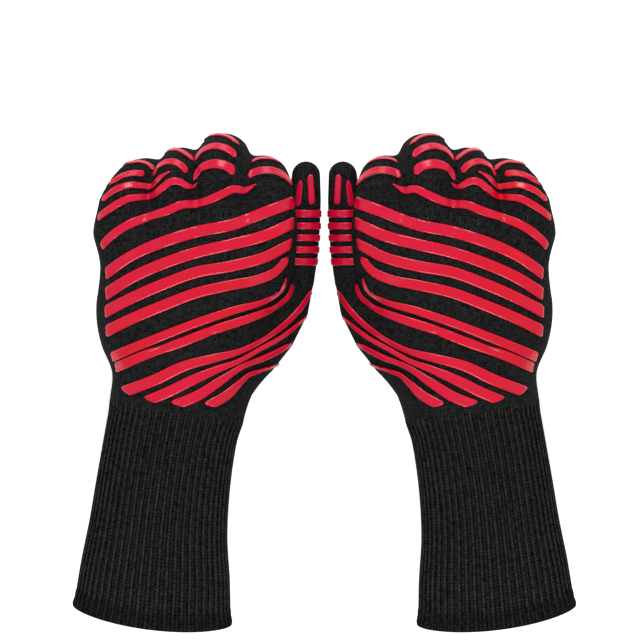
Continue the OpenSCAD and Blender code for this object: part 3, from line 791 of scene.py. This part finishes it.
def knit_uv(points, quads):
    """Wale and course position in mm. On the hand v = y and u runs around the section from the
    middle of the back: |x| + 0.8 * drop above half height, 2 * half width - |x| + 0.8 * drop
    below it. On a finger or thumb v runs along its path. Each face takes its nearest part."""
    middle = points[quads].mean(axis=1)
    parts = [palm_distance(middle) - PALM_FIRST, thumb_distance(middle)]
    parts += [finger_distance(middle, name) for name in FINGERS]
    corners = points[quads].reshape(-1, 3)
    which = np.repeat(np.argmin(parts, axis=0), 4)
    left, right, top, low, _ = smooth_curve(corners[:, 1], PALM[:, 0], PALM[:, 1:]).T
    across = corners[:, 0] - (left + right) / 2
    z = corners[:, 2] + BACK_LEAN * across
    run = np.where(z > (top + low) / 2, np.abs(across), right - left - np.abs(across))
    u = (left + right) / 2 + np.sign(across) * (run + DROP_RUN * (top - z))
    v = corners[:, 1].copy()
    for index, name in enumerate(FINGERS):
        here = which == index + 2
        path = finger_paths[name]
        gap, near = nearest_on_chain(corners[here][:, 1:], path, 2)
        off = corners[here][:, 0] - near[:, 0]
        u[here] = near[:, 0] + off + np.sign(off) * (near[:, 2] - gap) * DROP_RUN
        v[here] = near[:, 3] + path[0, 0]
    here = which == 1
    lengths = running_length(THUMB[:, :3])
    chain = np.column_stack([THUMB[:, :3], THUMB[:, 3], THUMB[:, 0], THUMB[:, 2], lengths])
    _, near = nearest_on_chain(corners[here], chain, 3)
    turn = np.arctan2(corners[here][:, 0] - near[:, 1], corners[here][:, 2] - near[:, 2])
    u[here], v[here] = turn * near[:, 0], near[:, 3]
    return np.stack([u, v], axis=1).reshape(-1, 4, 2)


hands = add_pieces("hand_knit_skin", knit_points, knit_quads, aramid, KNIT_NODES,
                   uv=knit_uv(knit_points, knit_quads))

# %% [markdown]
# The aramid is a double knit. Its inner face could be a second mesh, but then both must be
# joined along the edge. A Solidify modifier gives the wall inwards and closes that edge. The
# cotton lining is the same form taken a little deeper, so the field makes it as well. It ends
# a little before the aramid. Only the open cuff shows it, so a coarse lattice will do.

# %% Knit wall and lining hand
KNIT_WALL = 2.4
LINING_DEPTH = 2.7
LINING_WALL = 1.2
LINING_CELL = 2.4
LINING_TUCK = TUCK - 2.0
LINING_NODES = ["hand_lining", "index_lining", "middle_lining", "ring_lining", "little_lining",
                "thumb_lining"]


def give_wall(pieces, wall):
    """Thickens each piece inwards by wall mm."""
    for piece in pieces:
        solidify = piece.modifiers.new("wall", "SOLIDIFY")
        solidify.thickness = wall * MM
        solidify.offset = -1.0


give_wall(hands, KNIT_WALL)
lining_points, lining_quads = knit_surface(LINING_CELL, LINING_DEPTH, LINING_TUCK)
linings = add_pieces("hand_lining_skin", lining_points, lining_quads, cotton,
                     LINING_NODES, uv=knit_uv(lining_points, lining_quads))
give_wall(linings, LINING_WALL)

# %% [markdown]
# ## The ribbed cuff
# A rib knit is a column of stitches that stands up between two that sink in. Bump could draw
# the ribs, but they also notch the cuff's outline and its open end, so here they are real
# relief on a grid: rows from the wrist to the hem, and eight columns of points to each rib.
# The cuff is flat, like the wrist in it, and widens towards the hem. Six sections give its
# form, and a smooth curve fills in between them.

# %% Cuff sections
# Share of the way to the hem, thumb edge x and y, little finger edge x and y, half height
CUFF = np.array([
    [0.0, 42.4, -19.5, 111.4, -9.0, 24.3],
    [0.2, 46.8, -39.0, 115.1, -30.0, 24.8],
    [0.4, 49.7, -61.0, 119.0, -52.0, 26.0],
    [0.6, 50.6, -83.0, 122.9, -73.5, 27.5],
    [0.8, 49.0, -106.0, 127.8, -95.5, 29.0],
    [1.0, 48.4, -129.0, 131.9, -118.5, 30.3],
])
CUFF_LENGTH = 108.5
CUFF_WRIST_Z, CUFF_HEM_Z = WRIST_Z, 30.6
# Power of the sections: 2 is an ellipse, more is squarer. Width of one against its height
CUFF_SQUARE = 2.1
CUFF_ASPECT = 1.35
# How far the middle of the hem hangs out past its sides, and the power it comes in with
HEM_BOW = 2.9
BOW_POWER = 3
TABLE_GAP = 0.15
RIBS = 52
RIB_COLUMNS = 8
RIB_POWER = 3


def even_turns(columns):
    """Angles that divide an ellipse of the cuff's middle proportions into equal arcs."""
    fine = np.linspace(0, 2 * np.pi, 4001)
    run = running_length(np.stack([CUFF_ASPECT * np.cos(fine), np.sin(fine)], axis=1))
    return np.interp(np.arange(columns) / columns * run[-1], run, fine)


def cuff_points(share, turn, out):
    """Superellipse ring at each share, turned to angle, out mm outside of the cuff's mean face:
    u and v = cos and sin of the angle, each to the power 2 / CUFF_SQUARE, times half the width
    and half the height, in a plane that leans by CUFF_FALL."""
    share, turn, out = (value.ravel() for value in np.broadcast_arrays(share, turn, out))
    table = smooth_curve(share, CUFF[:, 0], CUFF[:, 1:])
    thumb_edge, little_edge, half_height = table[:, :2], table[:, 2:4], table[:, 4]
    reach = (little_edge - thumb_edge) / 2
    half_width = np.linalg.norm(reach, axis=1)
    sideways = reach / half_width[:, None]
    hemward = np.stack([sideways[:, 1], -sideways[:, 0]], axis=1)
    u = np.sign(np.cos(turn)) * np.abs(np.cos(turn)) ** (2 / CUFF_SQUARE)
    v = np.sign(np.sin(turn)) * np.abs(np.sin(turn)) ** (2 / CUFF_SQUARE)
    push = np.sin(CUFF_FALL) * (half_height + out) * v
    push = push + HEM_BOW * (1 - u ** 2) * np.clip(share, 0, 2) ** BOW_POWER
    plan = (thumb_edge + little_edge) / 2 + sideways * ((half_width + out) * u)[:, None]
    plan = plan + hemward * push[:, None]
    z = CUFF_WRIST_Z + share * (CUFF_HEM_Z - CUFF_WRIST_Z)
    z = z + np.cos(CUFF_FALL) * (half_height + out) * v
    return np.column_stack([plan, np.maximum(z, TABLE_GAP)])


def rib_height(columns):
    """0 on the crest of a rib and -1 in the groove: abs(sin(pi * share of a rib)) ** 3 - 1."""
    share = np.arange(columns) / RIB_COLUMNS
    return np.abs(np.sin(np.pi * share)) ** RIB_POWER - 1


angles = even_turns(RIBS * RIB_COLUMNS)
girths = [running_length(cuff_points(share, angles, 0.0))[-1].round() for share in (0.0, 1.0)]
print("cuff:", RIBS, "ribs, mm around at the wrist and at the hem's edge:", girths)

# %% [markdown]
# Cuff and hand are knitted in one piece, so the cuff must grow out of the hand. A Boolean
# would join the two with a hard line. Instead the first row of the grid lies on the hand's own
# surface, the rows after it let go of it over 14 mm, and the ribs rise from nothing over 5 mm.
# The inner face is a plainer grid, joined to the outer one at both ends.

# %% Cuff
RIB_DEPTH = 1.5
# mm from the seam: where the ribs start to rise, over what run, and how long the hand holds on
RIB_START = 0.5
RIB_RISE = 5.0
SETTLE = 14.0
# Height over the hand's surface, against mm from the seam: under it, at it, and clear of it
LIP_RUN = [-1.7, 0.0, 3.0]
LIP_HEIGHT = [-0.4, -0.02, 0.25]
# Shares of the way to the hem at which the cuff starts and ends, the rows between, and how
# many of them make one row of the inner face
CUFF_START, CUFF_END = -0.016, 0.955
CUFF_ROWS = 70
INNER_STEP = 5
# mm between the mean outer face and the inner one, and of unevenness at the hem
CUFF_WALL = 2.3
SWAY = 0.5


def sway(turn, share):
    """A worn cuff isn't even: SWAY * sin(2 * angle + 5 * share) * share, in mm."""
    return SWAY * np.sin(2 * turn[None, :] + 5 * share[:, None]) * share[:, None]


def signed_volume(points, quads):
    """Six times the volume in a closed surface, below zero where its faces look inwards: the
    sum of a . (b x c) + a . (c x d) over its quads."""
    a, b, c, d = (points[quads[:, i]] for i in range(4))
    return np.einsum("ij,ij->i", a, np.cross(b, c) + np.cross(c, d)).sum()


def closed_grid(points, rows, columns, u_step, v_of_row):
    """Quads and UV of a grid that closes both ways, its faces looking outwards. u counts on past
    the last column, and v has a value more than there are rows, so no face folds back."""
    quads = grid_faces(rows, columns, closed_rows=True)
    r, c = np.meshgrid(np.arange(rows), np.arange(columns), indexing="ij")
    r, c = r.ravel(), c.ravel()
    corners = [(r, c), (r + 1, c), (r + 1, c + 1), (r, c + 1)]
    uv = [np.stack([column * u_step, v_of_row[row]], axis=1) for row, column in corners]
    uv = np.stack(uv, axis=1)
    if signed_volume(points, quads) <= 0:
        quads, uv = quads[:, ::-1], uv[:, ::-1]
    return quads, uv


def cuff_surface():
    """Outer rows: the ring at each share, RIB_DEPTH * rib height out. Near the wrist they move
    to the hand's surface, by a share that falls smoothly from 1 to 0 over SETTLE."""
    columns = RIBS * RIB_COLUMNS
    turn = even_turns(columns)
    share = np.linspace(CUFF_START, CUFF_END, CUFF_ROWS)
    rise = np.clip((share * CUFF_LENGTH - RIB_START) / RIB_RISE, 0, 1)
    out = RIB_DEPTH * rib_height(columns)[None, :] * rise[:, None] + sway(turn, share)
    outer = cuff_points(share[:, None], turn[None, :], out)
    t = np.clip(1 - share * CUFF_LENGTH / SETTLE, 0, 1)
    hold = np.repeat(t * t * (3 - 2 * t), columns)
    near = hold > 0
    mean = cuff_points(share[:, None], turn[None, :], 0.0)[near]
    settled = onto_knit(mean)
    above = np.repeat(np.interp(share * CUFF_LENGTH, LIP_RUN, LIP_HEIGHT), columns)[near]
    shift = settled - mean + outward(settled) * above[:, None]
    outer[near] += shift * hold[near][:, None]
    inner_share = share[::-1][::INNER_STEP]
    inner = cuff_points(inner_share[:, None], turn[None, :], -CUFF_WALL)
    points = np.vstack([outer, inner])
    v = np.concatenate([share, inner_share, share[:1]]) * CUFF_LENGTH
    return points, *closed_grid(points, len(share) + len(inner_share), columns, 1 / RIB_COLUMNS, v)


cuff_xyz, cuff_quads, cuff_uv = cuff_surface()
add_pieces("cuff_rib", cuff_xyz, cuff_quads, rib_knit, ["cuff"], uv=cuff_uv)

# %% [markdown]
# The hem is folded back and overlocked: a round soft edge with thread loops that cross it at a
# slant. Each loop could be a curve of its own, but 150 thin curves would look no different at
# this size. So a closed profile is carried around the cuff, and a wave that shifts from row to
# row stands for the loops. Inside the hem the cotton lining ends. It is a plain tube with two
# faces, which can be seen from the open end.

# %% Hem and cuff lining
# Section of the hem: share along the cuff, mm outside of the cuff's mean face
HEM_PROFILE = np.array([
    [0.914, -1.6], [0.918, -0.4], [0.926, 0.15], [0.937, 0.3], [0.948, 0.25], [0.955, -0.05],
    [0.961, 0.2], [0.969, 0.5], [0.979, 0.6], [0.989, 0.5], [0.997, 0.1], [1.002, -0.6],
    [1.004, -1.6], [1.002, -3.0], [0.993, -4.0], [0.975, -4.5], [0.950, -4.6], [0.930, -4.4],
])
# Thread loops: height in mm, number around the hem, and shift from row to row in radians
LOOP_DEPTH = 0.3
LOOPS = 150
LOOP_SLANT = 0.9
# The ribs carry on, HEM_RIB mm deep, over what stands higher than HEM_OUTER: the hem's outer
# face. They fade out over the last HEM_FADE of the cuff
HEM_RIB = 1.2
HEM_OUTER = -1
HEM_FADE = 0.07
# Lining tube: shares where it starts and ends, and mm of its two faces from the mean one
TUBE_SHARE = (0.05, 0.96)
TUBE_FACES = [-2.9, -4.1]
TUBE_ROWS = 24
TUBE_COLUMNS = 72
# mm of cloth from column to column
TUBE_U_STEP = 2.9


def hem_surface():
    """The profile at each angle, plus a wave for the loops, plus what is left of the ribs."""
    columns = RIBS * RIB_COLUMNS
    turn = even_turns(columns)
    rows = len(HEM_PROFILE)
    share, face = HEM_PROFILE[:, :1], HEM_PROFILE[:, 1:]
    wave = LOOPS * 2 * np.pi * np.arange(columns)[None, :] / columns
    loop = np.sin(wave + np.arange(rows)[:, None] * LOOP_SLANT)
    fade = np.clip((1 - share) / HEM_FADE, 0, 1) * (face > HEM_OUTER)
    out = face + LOOP_DEPTH * loop + HEM_RIB * fade * rib_height(columns)[None, :]
    points = cuff_points(share, turn[None, :], out + sway(turn, share[:, 0]))
    return points, *closed_grid(points, rows, columns, 1 / RIB_COLUMNS, np.arange(rows + 1) * 1.0)


def cuff_lining_surface():
    """Two rings of different depth at each share, one for the outer and one for the inner face."""
    turn = even_turns(TUBE_COLUMNS)
    outer_share = np.linspace(*TUBE_SHARE, TUBE_ROWS)
    share = np.concatenate([outer_share, outer_share[::-1]])
    out = np.repeat(TUBE_FACES, TUBE_ROWS)
    points = cuff_points(share[:, None], turn[None, :], out[:, None])
    v = np.append(share, share[0]) * CUFF_LENGTH
    return points, *closed_grid(points, len(share), TUBE_COLUMNS, TUBE_U_STEP, v)


hem_xyz, hem_quads, hem_uv = hem_surface()
add_pieces("hem_overlock", hem_xyz, hem_quads, hem_yarn, ["hem"], uv=hem_uv)
tube_xyz, tube_quads, tube_uv = cuff_lining_surface()
add_pieces("cuff_lining_tube", tube_xyz, tube_quads, cotton, ["cuff_lining"],
           uv=tube_uv)

# %% [markdown]
# ## The silicone stripes
# The stripes give grip and keep hot metal off the knit. A Shrinkwrap modifier could lay flat
# strips on the hand, but their edges would sink in or hover where it curves away. So a cross
# section of eighteen points is carried along a line on the knit: twelve over the top with its
# raised rims and six under it, inside the cloth. Every point of it is settled on the knit
# first and lifted after, so a stripe takes every rise and hollow and keeps its height.

# %% Stripe builder
# mm between two sections, height over the knit, and depth of the underside in it
STEP = 1.0
STRIPE_HEIGHT = 0.95
SUNK = 0.5
# Radius of the round corners, the run in which an end climbs, and the share where it starts
CORNER = 2.2
END_RISE = 0.9
LEAST_RISE = 0.05
# Run in which a skewed end turns back to square
SKEW_RUN = 9.0
# A pointed end narrows by share ** TAPER_POWER, from the whole down to the least share
TAPER_POWER = 0.6
LEAST_TAPER = 0.02
# Half width that nothing falls below
THINNEST = 0.15
# Two waves make the poured edges uneven: share of the width, radians to a mm
WAVER = [(0.016, 1.9), (0.012, 4.3)]
# Places across the top, and the height there as a share: a low rim stands along both edges
TOP = np.array([-1, -0.95, -0.86, -0.70, -0.55, -0.25, 0.25, 0.55, 0.70, 0.86, 0.95, 1])
RIM = np.array([0, 0.5, 0.75, 1.0, 1.0, 0.92, 0.92, 1.0, 1.0, 0.75, 0.5, 0])
UNDER = np.array([0.9, 0.6, 0.2, -0.2, -0.6, -0.9])
# Height where a march onto the knit starts, and the height that it must not pass
FROM_ABOVE = (105.0, 40.0)
FROM_BELOW = (5.0, 60.0)
MARCH_TURNS = 30
MARCH_SHARE = 0.85
# Points from which an even line is picked, for each point that is given
FINE = 40


def even_line(points, step):
    """A smooth curve through the points, resampled at equal steps of length."""
    points = np.asarray(points, float)
    knots = running_length(points)
    fine = smooth_curve(np.linspace(0, knots[-1], FINE * len(points)), knots, points)
    run = running_length(fine)
    where = np.linspace(0, run[-1], max(4, int(round(run[-1] / step)) + 1))
    return np.stack([np.interp(where, run, column) for column in fine.T], axis=1)


def drop_on_knit(plan, upward=False):
    """Marches points down onto the back of the hand, or up onto its palm, and settles them. Each
    turn goes 0.85 of the distance that is left, so that it doesn't step through the knit."""
    start, stop = FROM_BELOW if upward else FROM_ABOVE
    sign = -1.0 if upward else 1.0
    p = np.column_stack([plan, np.full(len(plan), start)])
    for _ in range(MARCH_TURNS):
        p[:, 2] -= sign * np.clip(glove_distance(p), 0, None) * MARCH_SHARE
        p[:, 2] = np.clip(p[:, 2], min(start, stop), max(start, stop))
    return onto_knit(p)


def unit(vectors):
    """Each vector divided by its length."""
    return vectors / np.maximum(np.linalg.norm(vectors, axis=-1, keepdims=True), 1e-9)


def stripe_widths(along, half_widths, taper_start, taper_end):
    """Half width along a stripe. An end with a taper is drawn out to a point over that run. Any
    other end has a quarter circle at each corner: it loses CORNER * (1 - sqrt(t * (2 - t))),
    where t is the share of CORNER from the end."""
    half_widths = np.atleast_1d(half_widths)
    width = half_widths[0] + 0 * along
    if len(half_widths) > 1:
        width = smooth_curve(along, np.linspace(0, along[-1], len(half_widths)), half_widths)
    for run, taper in ((along, taper_start), (along[-1] - along, taper_end)):
        if taper:
            width = width * np.clip(run / taper, LEAST_TAPER, 1) ** TAPER_POWER
        else:
            t = np.clip(run / CORNER, 0, 1)
            width = width - CORNER * (1 - np.sqrt(t * (2 - t)))
    return np.maximum(width, THINNEST)


def stripe_surface(line, half_widths, taper_start=0.0, taper_end=0.0,
                   skew_start=0.0, skew_end=0.0):
    """Rows of a closed section along a line on the knit, with capped ends. A skew in degrees
    turns an end away from square, by a shear of tan(skew) that dies out over SKEW_RUN."""
    line = onto_knit(even_line(line, STEP), turns=2)
    ahead = unit(np.gradient(line, axis=0))
    side = unit(np.cross(ahead, outward(line)))
    along = running_length(line)
    waver = 1
    for (share, pace), start in zip(WAVER, line[0, :2]):
        waver = waver + share * np.sin(pace * along + start)
    width = stripe_widths(along, half_widths, taper_start, taper_end) * waver
    across = np.concatenate([TOP, UNDER])
    rows, columns = len(line), len(across)
    offset = across[None, :] * width[:, None]
    lean = np.tan(np.radians(skew_start)) * np.clip(1 - along / SKEW_RUN, 0, 1)
    lean = lean + np.tan(np.radians(skew_end)) * np.clip(1 - (along[-1] - along) / SKEW_RUN, 0, 1)
    p = line[:, None] + side[:, None] * offset[..., None]
    p = p + ahead[:, None] * (offset * lean[:, None])[..., None]
    p = onto_knit(p.reshape(-1, 3), turns=2)
    ends = np.minimum(along, along[-1] - along)
    rise = np.sqrt(np.clip(ends / END_RISE, LEAST_RISE, 1))
    profile = np.concatenate([RIM * STRIPE_HEIGHT, np.full(len(UNDER), -SUNK)])
    lift = np.where(profile[None, :] > 0, profile[None, :] * rise[:, None], profile[None, :])
    p = p + outward(p) * lift.reshape(-1, 1)
    pair = np.arange(columns // 2 - 1)
    cap = np.stack([pair, pair + 1, columns - 2 - pair, columns - 1 - pair], axis=1)
    far_cap = (cap + (rows - 1) * columns)[:, ::-1]
    faces = np.vstack([grid_faces(rows, columns), cap, far_cap])
    if signed_volume(p, faces) <= 0:
        faces = faces[:, ::-1]
    uv = np.stack([np.tile(across, rows)[faces], np.repeat(along, columns)[faces]], axis=-1)
    return p, faces, uv


def add_stripes(name, surfaces, node):
    """Joins several stripes into one set of arrays, each one's faces counted on from the last
    one's points, and makes a piece a side from it."""
    starts = np.cumsum([0] + [len(points) for points, _, _ in surfaces[:-1]])
    points = np.vstack([points for points, _, _ in surfaces])
    faces = np.vstack([faces + start for start, (_, faces, _) in zip(starts, surfaces)])
    uv = np.vstack([uv for _, _, uv in surfaces])
    return add_pieces(name, points, faces, silicone, [node], uv=uv)


print("stripe section:", len(TOP) + len(UNDER), "points")

# %% [markdown]
# The stripes over the back climb from the little finger to the thumb side in long S curves.
# The upper ones bend into waves where they cross the valleys between the knuckles, and the
# lower ones fan out from the web of the thumb. A rule for such a pattern would need as many
# numbers as it has bends. So the points of each are listed on the plan of the hand, and the
# curve through them is dropped onto the knit from above.

# %% Stripes over the back of the hand
# Half widths along each, taper at start and end, skew at start and end, then points (x, y)
BACK_STRIPES = [
    ((3.1, 3.3, 3.3), 0, 0, 28, -4,
     [(113.5, 54.7), (101.5, 63.4), (84, 71.2), (66, 76.7), (48, 80.3), (30, 87), (16.2, 92.1)]),
    ((3.3, 3.3, 3.2), 0, 0, 28, 28,
     [(113.5, 44.2), (101.5, 52), (84, 60), (66, 66), (48, 70.2), (30, 75), (16, 81.5)]),
    ((3.3, 3.3, 3.1), 0, 0, 28, 28,
     [(114, 35), (101.5, 41.6), (84, 49.3), (66, 55.8), (48, 59), (30, 64), (17, 71)]),
    ((3.2, 3.2, 3.0, 2.6), 0, 3, 28, 0,
     [(113.5, 25), (101.5, 30.9), (84, 38.3), (66, 45.1), (48, 49.2), (35, 51.9), (26, 55.8),
      (19, 63.7)]),
    ((2.8, 2.6, 2.3, 1.7), 0, 7, 25, 0,
     [(110.5, 11.7), (101.5, 15.6), (84, 22.7), (66, 29.7), (48, 35.8), (30, 41.4), (23, 46),
      (20, 53)]),
    ((2.9, 2.8, 2.5, 2.0), 0, 0, 25, 0,
     [(108.5, 6.2), (93, 12.9), (75, 19.1), (57, 26.1), (39, 32), (25.5, 38.2), (18.5, 44.7),
      (17, 50.2)]),
    ((3.2, 3.2, 2.2, 2.0, 1.9), 0, 0, -40, -30,
     [(104, -6.3), (87.5, 0.1), (73, 7), (58.5, 11), (44, 14.9), (29, 22.8), (18.5, 31),
      (11.5, 39), (7, 46.5)]),
    ((3.1, 3.0, 1.6, 1.4, 1.3), 0, 3, -42, 0,
     [(91.5, -10.8), (80, -5.9), (69.9, -0.8), (54, 6.1), (46, 9.1), (34, 15.7), (22.2, 22.3),
      (9.5, 33)]),
    ((3.1, 3.0, 2.0, 2.0, 1.8), 0, 2, -45, 0,
     [(77.5, -13), (66.5, -8.5), (54, -0.5), (42, 7.4), (30, 12), (17.5, 18.5)]),
    ((2.9, 2.8, 1.4, 1.1, 0.9), 0, 3, -42, 0,
     [(60.5, -13.5), (50.9, -8), (44, -1.5), (40, 2.2), (34, 4.6), (24, 8)]),
    ((2.1, 2.5, 2.5, 2.4, 2.3, 1.9), 0, 9, 20, 0,
     [(115.5, 68.8), (112.5, 72.4), (108, 76.3), (103, 79.6), (92.3, 84), (81.7, 87.4),
      (73.7, 90.7), (65.8, 91.3), (60.5, 92.8), (52.5, 96.4), (47.2, 98.8), (41.9, 98.2),
      (35, 101.3)]),
    ((2.1, 2.1, 1.9, 2.1, 1.6), 0, 8, 15, 0,
     [(117.4, 83.7), (108.2, 90.5), (101.3, 93.9), (95, 94.8), (89.6, 95.2), (84.3, 99),
      (78.5, 102.8), (74.8, 102.4), (71.6, 100.6), (69, 100.1), (65.6, 102.1)]),
    ((1.8, 1.9, 1.7, 1.4), 3, 8, 0, 0,
     [(115.2, 92.9), (108, 98.5), (100, 100.9), (95, 100.5), (89.1, 100.4), (84.9, 104.7),
      (79.3, 107.9)]),
]

back = [stripe_surface(drop_on_knit(even_line(points, STEP)), *shape)
        for *shape, points in BACK_STRIPES]
add_stripes("back_grip", back, "back_stripes")

# %% [markdown]
# Over the knuckles each finger has its own short stripes. From above they look like arches,
# because a straight band around a bar that dips away shows its round top first. On three
# fingers the last one starts on the front, where nothing can be dropped from above: there the
# points have a z and are settled where they stand. Further down the fronts and under the
# fingers the stripes repeat, so a rule makes them, at one pitch along the outside.

# %% Stripes on the fingers
# Finger: arches over the knuckle, written as the stripes above, then height of the next one
KNUCKLE_STRIPES = {
    "index": ([
        ((2.2, 2.5, 2.5, 2.5, 2.1), 0, 0, 20, 10,
         [(39.9, 105.6), (35.3, 107.8), (30.1, 108.6), (24.8, 107.7), (20.4, 105.2),
          (17.2, 101.8)]),
        ((1.0, 1.5, 1.6, 1.2), 2, 3, 0, 0,
         [(38, 112.6), (34.9, 114.2), (30.7, 114.8), (26.5, 114.1), (22.9, 112.2)]),
    ], 48.5),
    "middle": ([
        ((1.5, 2.4, 2.7, 2.6), 2, 0, 0, -25,
         [(68, 103.5), (63.3, 109.9), (57, 111.8), (51.5, 110.9), (46.3, 107.6)]),
        ((1.4, 2.2, 2.4, 2.4), 2, 0, 0, -25,
         [(67.2, 113.5), (63, 118.7), (57, 121), (51.5, 119.9), (45.6, 116)]),
        ((1.6, 1.8, 1.7, 1.7, 1.3), 0, 3, 0, 0,
         [(64.6, 128, 57), (61.3, 128, 63.5), (57.6, 126.9), (54.5, 126.9), (50, 125.7),
          (44.3, 121.6)]),
    ], 47.5),
    "ring": ([
        ((1.3, 2.0, 2.2, 2.2), 2, 0, 0, -10,
         [(88.6, 105), (85.5, 110.6), (80, 112.9), (75, 111.4), (71, 107.5)]),
        ((1.6, 1.8, 1.8, 1.7, 1.5), 0, 2, 0, 0,
         [(84, 119, 57), (81, 120, 62.5), (77.6, 119.2), (75.6, 118.8), (72.4, 117.2),
          (67.8, 113.6)]),
    ], 47.0),
    "little": ([
        ((1.6, 2.0, 2.0), 3, 0, 0, 10,
         [(111.5, 100.8), (104.5, 105.7), (98.5, 107), (93.3, 106.6)]),
        ((1.5, 1.7, 1.6, 1.6, 1.4), 0, 2, 0, 0,
         [(103.2, 110, 58.5), (99.6, 112.6), (96.6, 113), (93, 112.3), (88, 108.9)]),
    ], 46.0),
}
RING_PITCH = 10.5
RING_HALF = 2.5
# Share of the finger's half width that a band spans, bands on a finger, and points along one
RING_REACH = 0.84
RINGS = 7
BAND_POINTS = 9


def arch_line(points):
    """Points (x, y) are dropped onto the knit from above. Those with a z come first and are
    moved to the knit from where they stand, on the front."""
    front = [point for point in points if len(point) == 3]
    line = drop_on_knit(even_line(points[len(front):], STEP))
    return np.vstack([onto_knit(np.array(front, float), turns=4), line]) if front else line


def finger_rings(name, first_z):
    """Bands across the outside of a finger, RING_PITCH apart along its outer outline, the first
    where that outline comes down to first_z. Each follows the finger's own section: its height
    over the path is half thickness * (1 - |u| ** FINGER_SQUARE) ** (1 / FINGER_SQUARE)."""
    path = finger_paths[name]
    ahead = unit(np.gradient(path[:, :2], axis=0))
    outline = path[:, :2] + np.stack([-ahead[:, 1], ahead[:, 0]], axis=1) * path[:, 4:5]
    run = running_length(outline)
    front = np.argmax(outline[:, 0])
    around_front = slice(front - 2, front + 3)
    first = np.interp(-first_z, -outline[around_front, 1], run[around_front])
    u = np.linspace(-RING_REACH, RING_REACH, BAND_POINTS)
    bands = []
    for at in first + RING_PITCH * np.arange(RINGS):
        y, z, x, half_width, half_thick = (np.interp(at, run, path[:, i]) for i in range(5))
        dy, dz = (np.interp(at, run, ahead[:, i]) for i in range(2))
        lift = half_thick * (1 - np.abs(u) ** FINGER_SQUARE) ** (1 / FINGER_SQUARE)
        line = np.stack([x + u * half_width, y - dz * lift, z + dy * lift], axis=1)
        bands.append(stripe_surface(onto_knit(line), RING_HALF))
    return bands


for name, (arches, next_z) in KNUCKLE_STRIPES.items():
    over = [stripe_surface(arch_line(points), *shape) for *shape, points in arches]
    add_stripes(f"{name}_grip", over + finger_rings(name, next_z), f"{name}_stripes")

# %% [markdown]
# The thumb has five bands across it and two lines along its last joint. It is round, so a band
# is simply a part of a turn around it, while the lines are dropped onto it like the stripes of
# the back. The palm has five slanted stripes. It faces the table, so its stripes are drawn on
# the plan as well, but pushed up onto the knit from below.

# %% Stripes on the thumb and the palm
# Across the thumb: y and half width. Along its last joint: written as the stripes above.
THUMB_BANDS = [(86.4, 2.2), (80.0, 2.0), (73.8, 2.0), (67.6, 2.0), (61.4, 2.1)]
THUMB_LINES = [((1.5, 1.8, 1.8), 2.5, 0, 0, 0, [(12.1, 103.9), (13.1, 97.1), (13.9, 90)]),
               ((1.7, 1.9, 2.0), 0, 0, -15, 0, [(7.6, 107), (7.1, 99), (6.6, 91)])]
# Degrees from straight up at which a band starts, on the outer side, and ends
BAND_TURN = (-82, 46)
PALM_STRIPES = [
    [(104, -6), (84, -2), (62, 3)],
    [(107, 4), (86, 8.5), (64, 14)],
    [(108, 14.5), (88, 19), (66, 25)],
    [(108, 25), (90, 29.5), (70, 36)],
    [(106, 35.5), (90, 40), (72, 46.5)],
]


def thumb_band(y, half_width):
    """A band around the outer and upper side of the thumb at y: centre + radius * (sin, cos)."""
    x, _, z, radius = (np.interp(y, THUMB[:, 1], THUMB[:, i]) for i in range(4))
    turn = np.radians(np.linspace(*BAND_TURN, BAND_POINTS))
    line = [x + radius * np.sin(turn), np.full(BAND_POINTS, y), z + radius * np.cos(turn)]
    return stripe_surface(onto_knit(np.stack(line, axis=1)), half_width)


thumb = [thumb_band(y, half_width) for y, half_width in THUMB_BANDS]
thumb += [stripe_surface(drop_on_knit(even_line(points, STEP)), *shape)
          for *shape, points in THUMB_LINES]
add_stripes("thumb_grip", thumb, "thumb_stripes")
palm = [stripe_surface(drop_on_knit(even_line(points, STEP), upward=True), RING_HALF)
        for points in PALM_STRIPES]
add_stripes("palm_grip", palm, "palm_stripes")
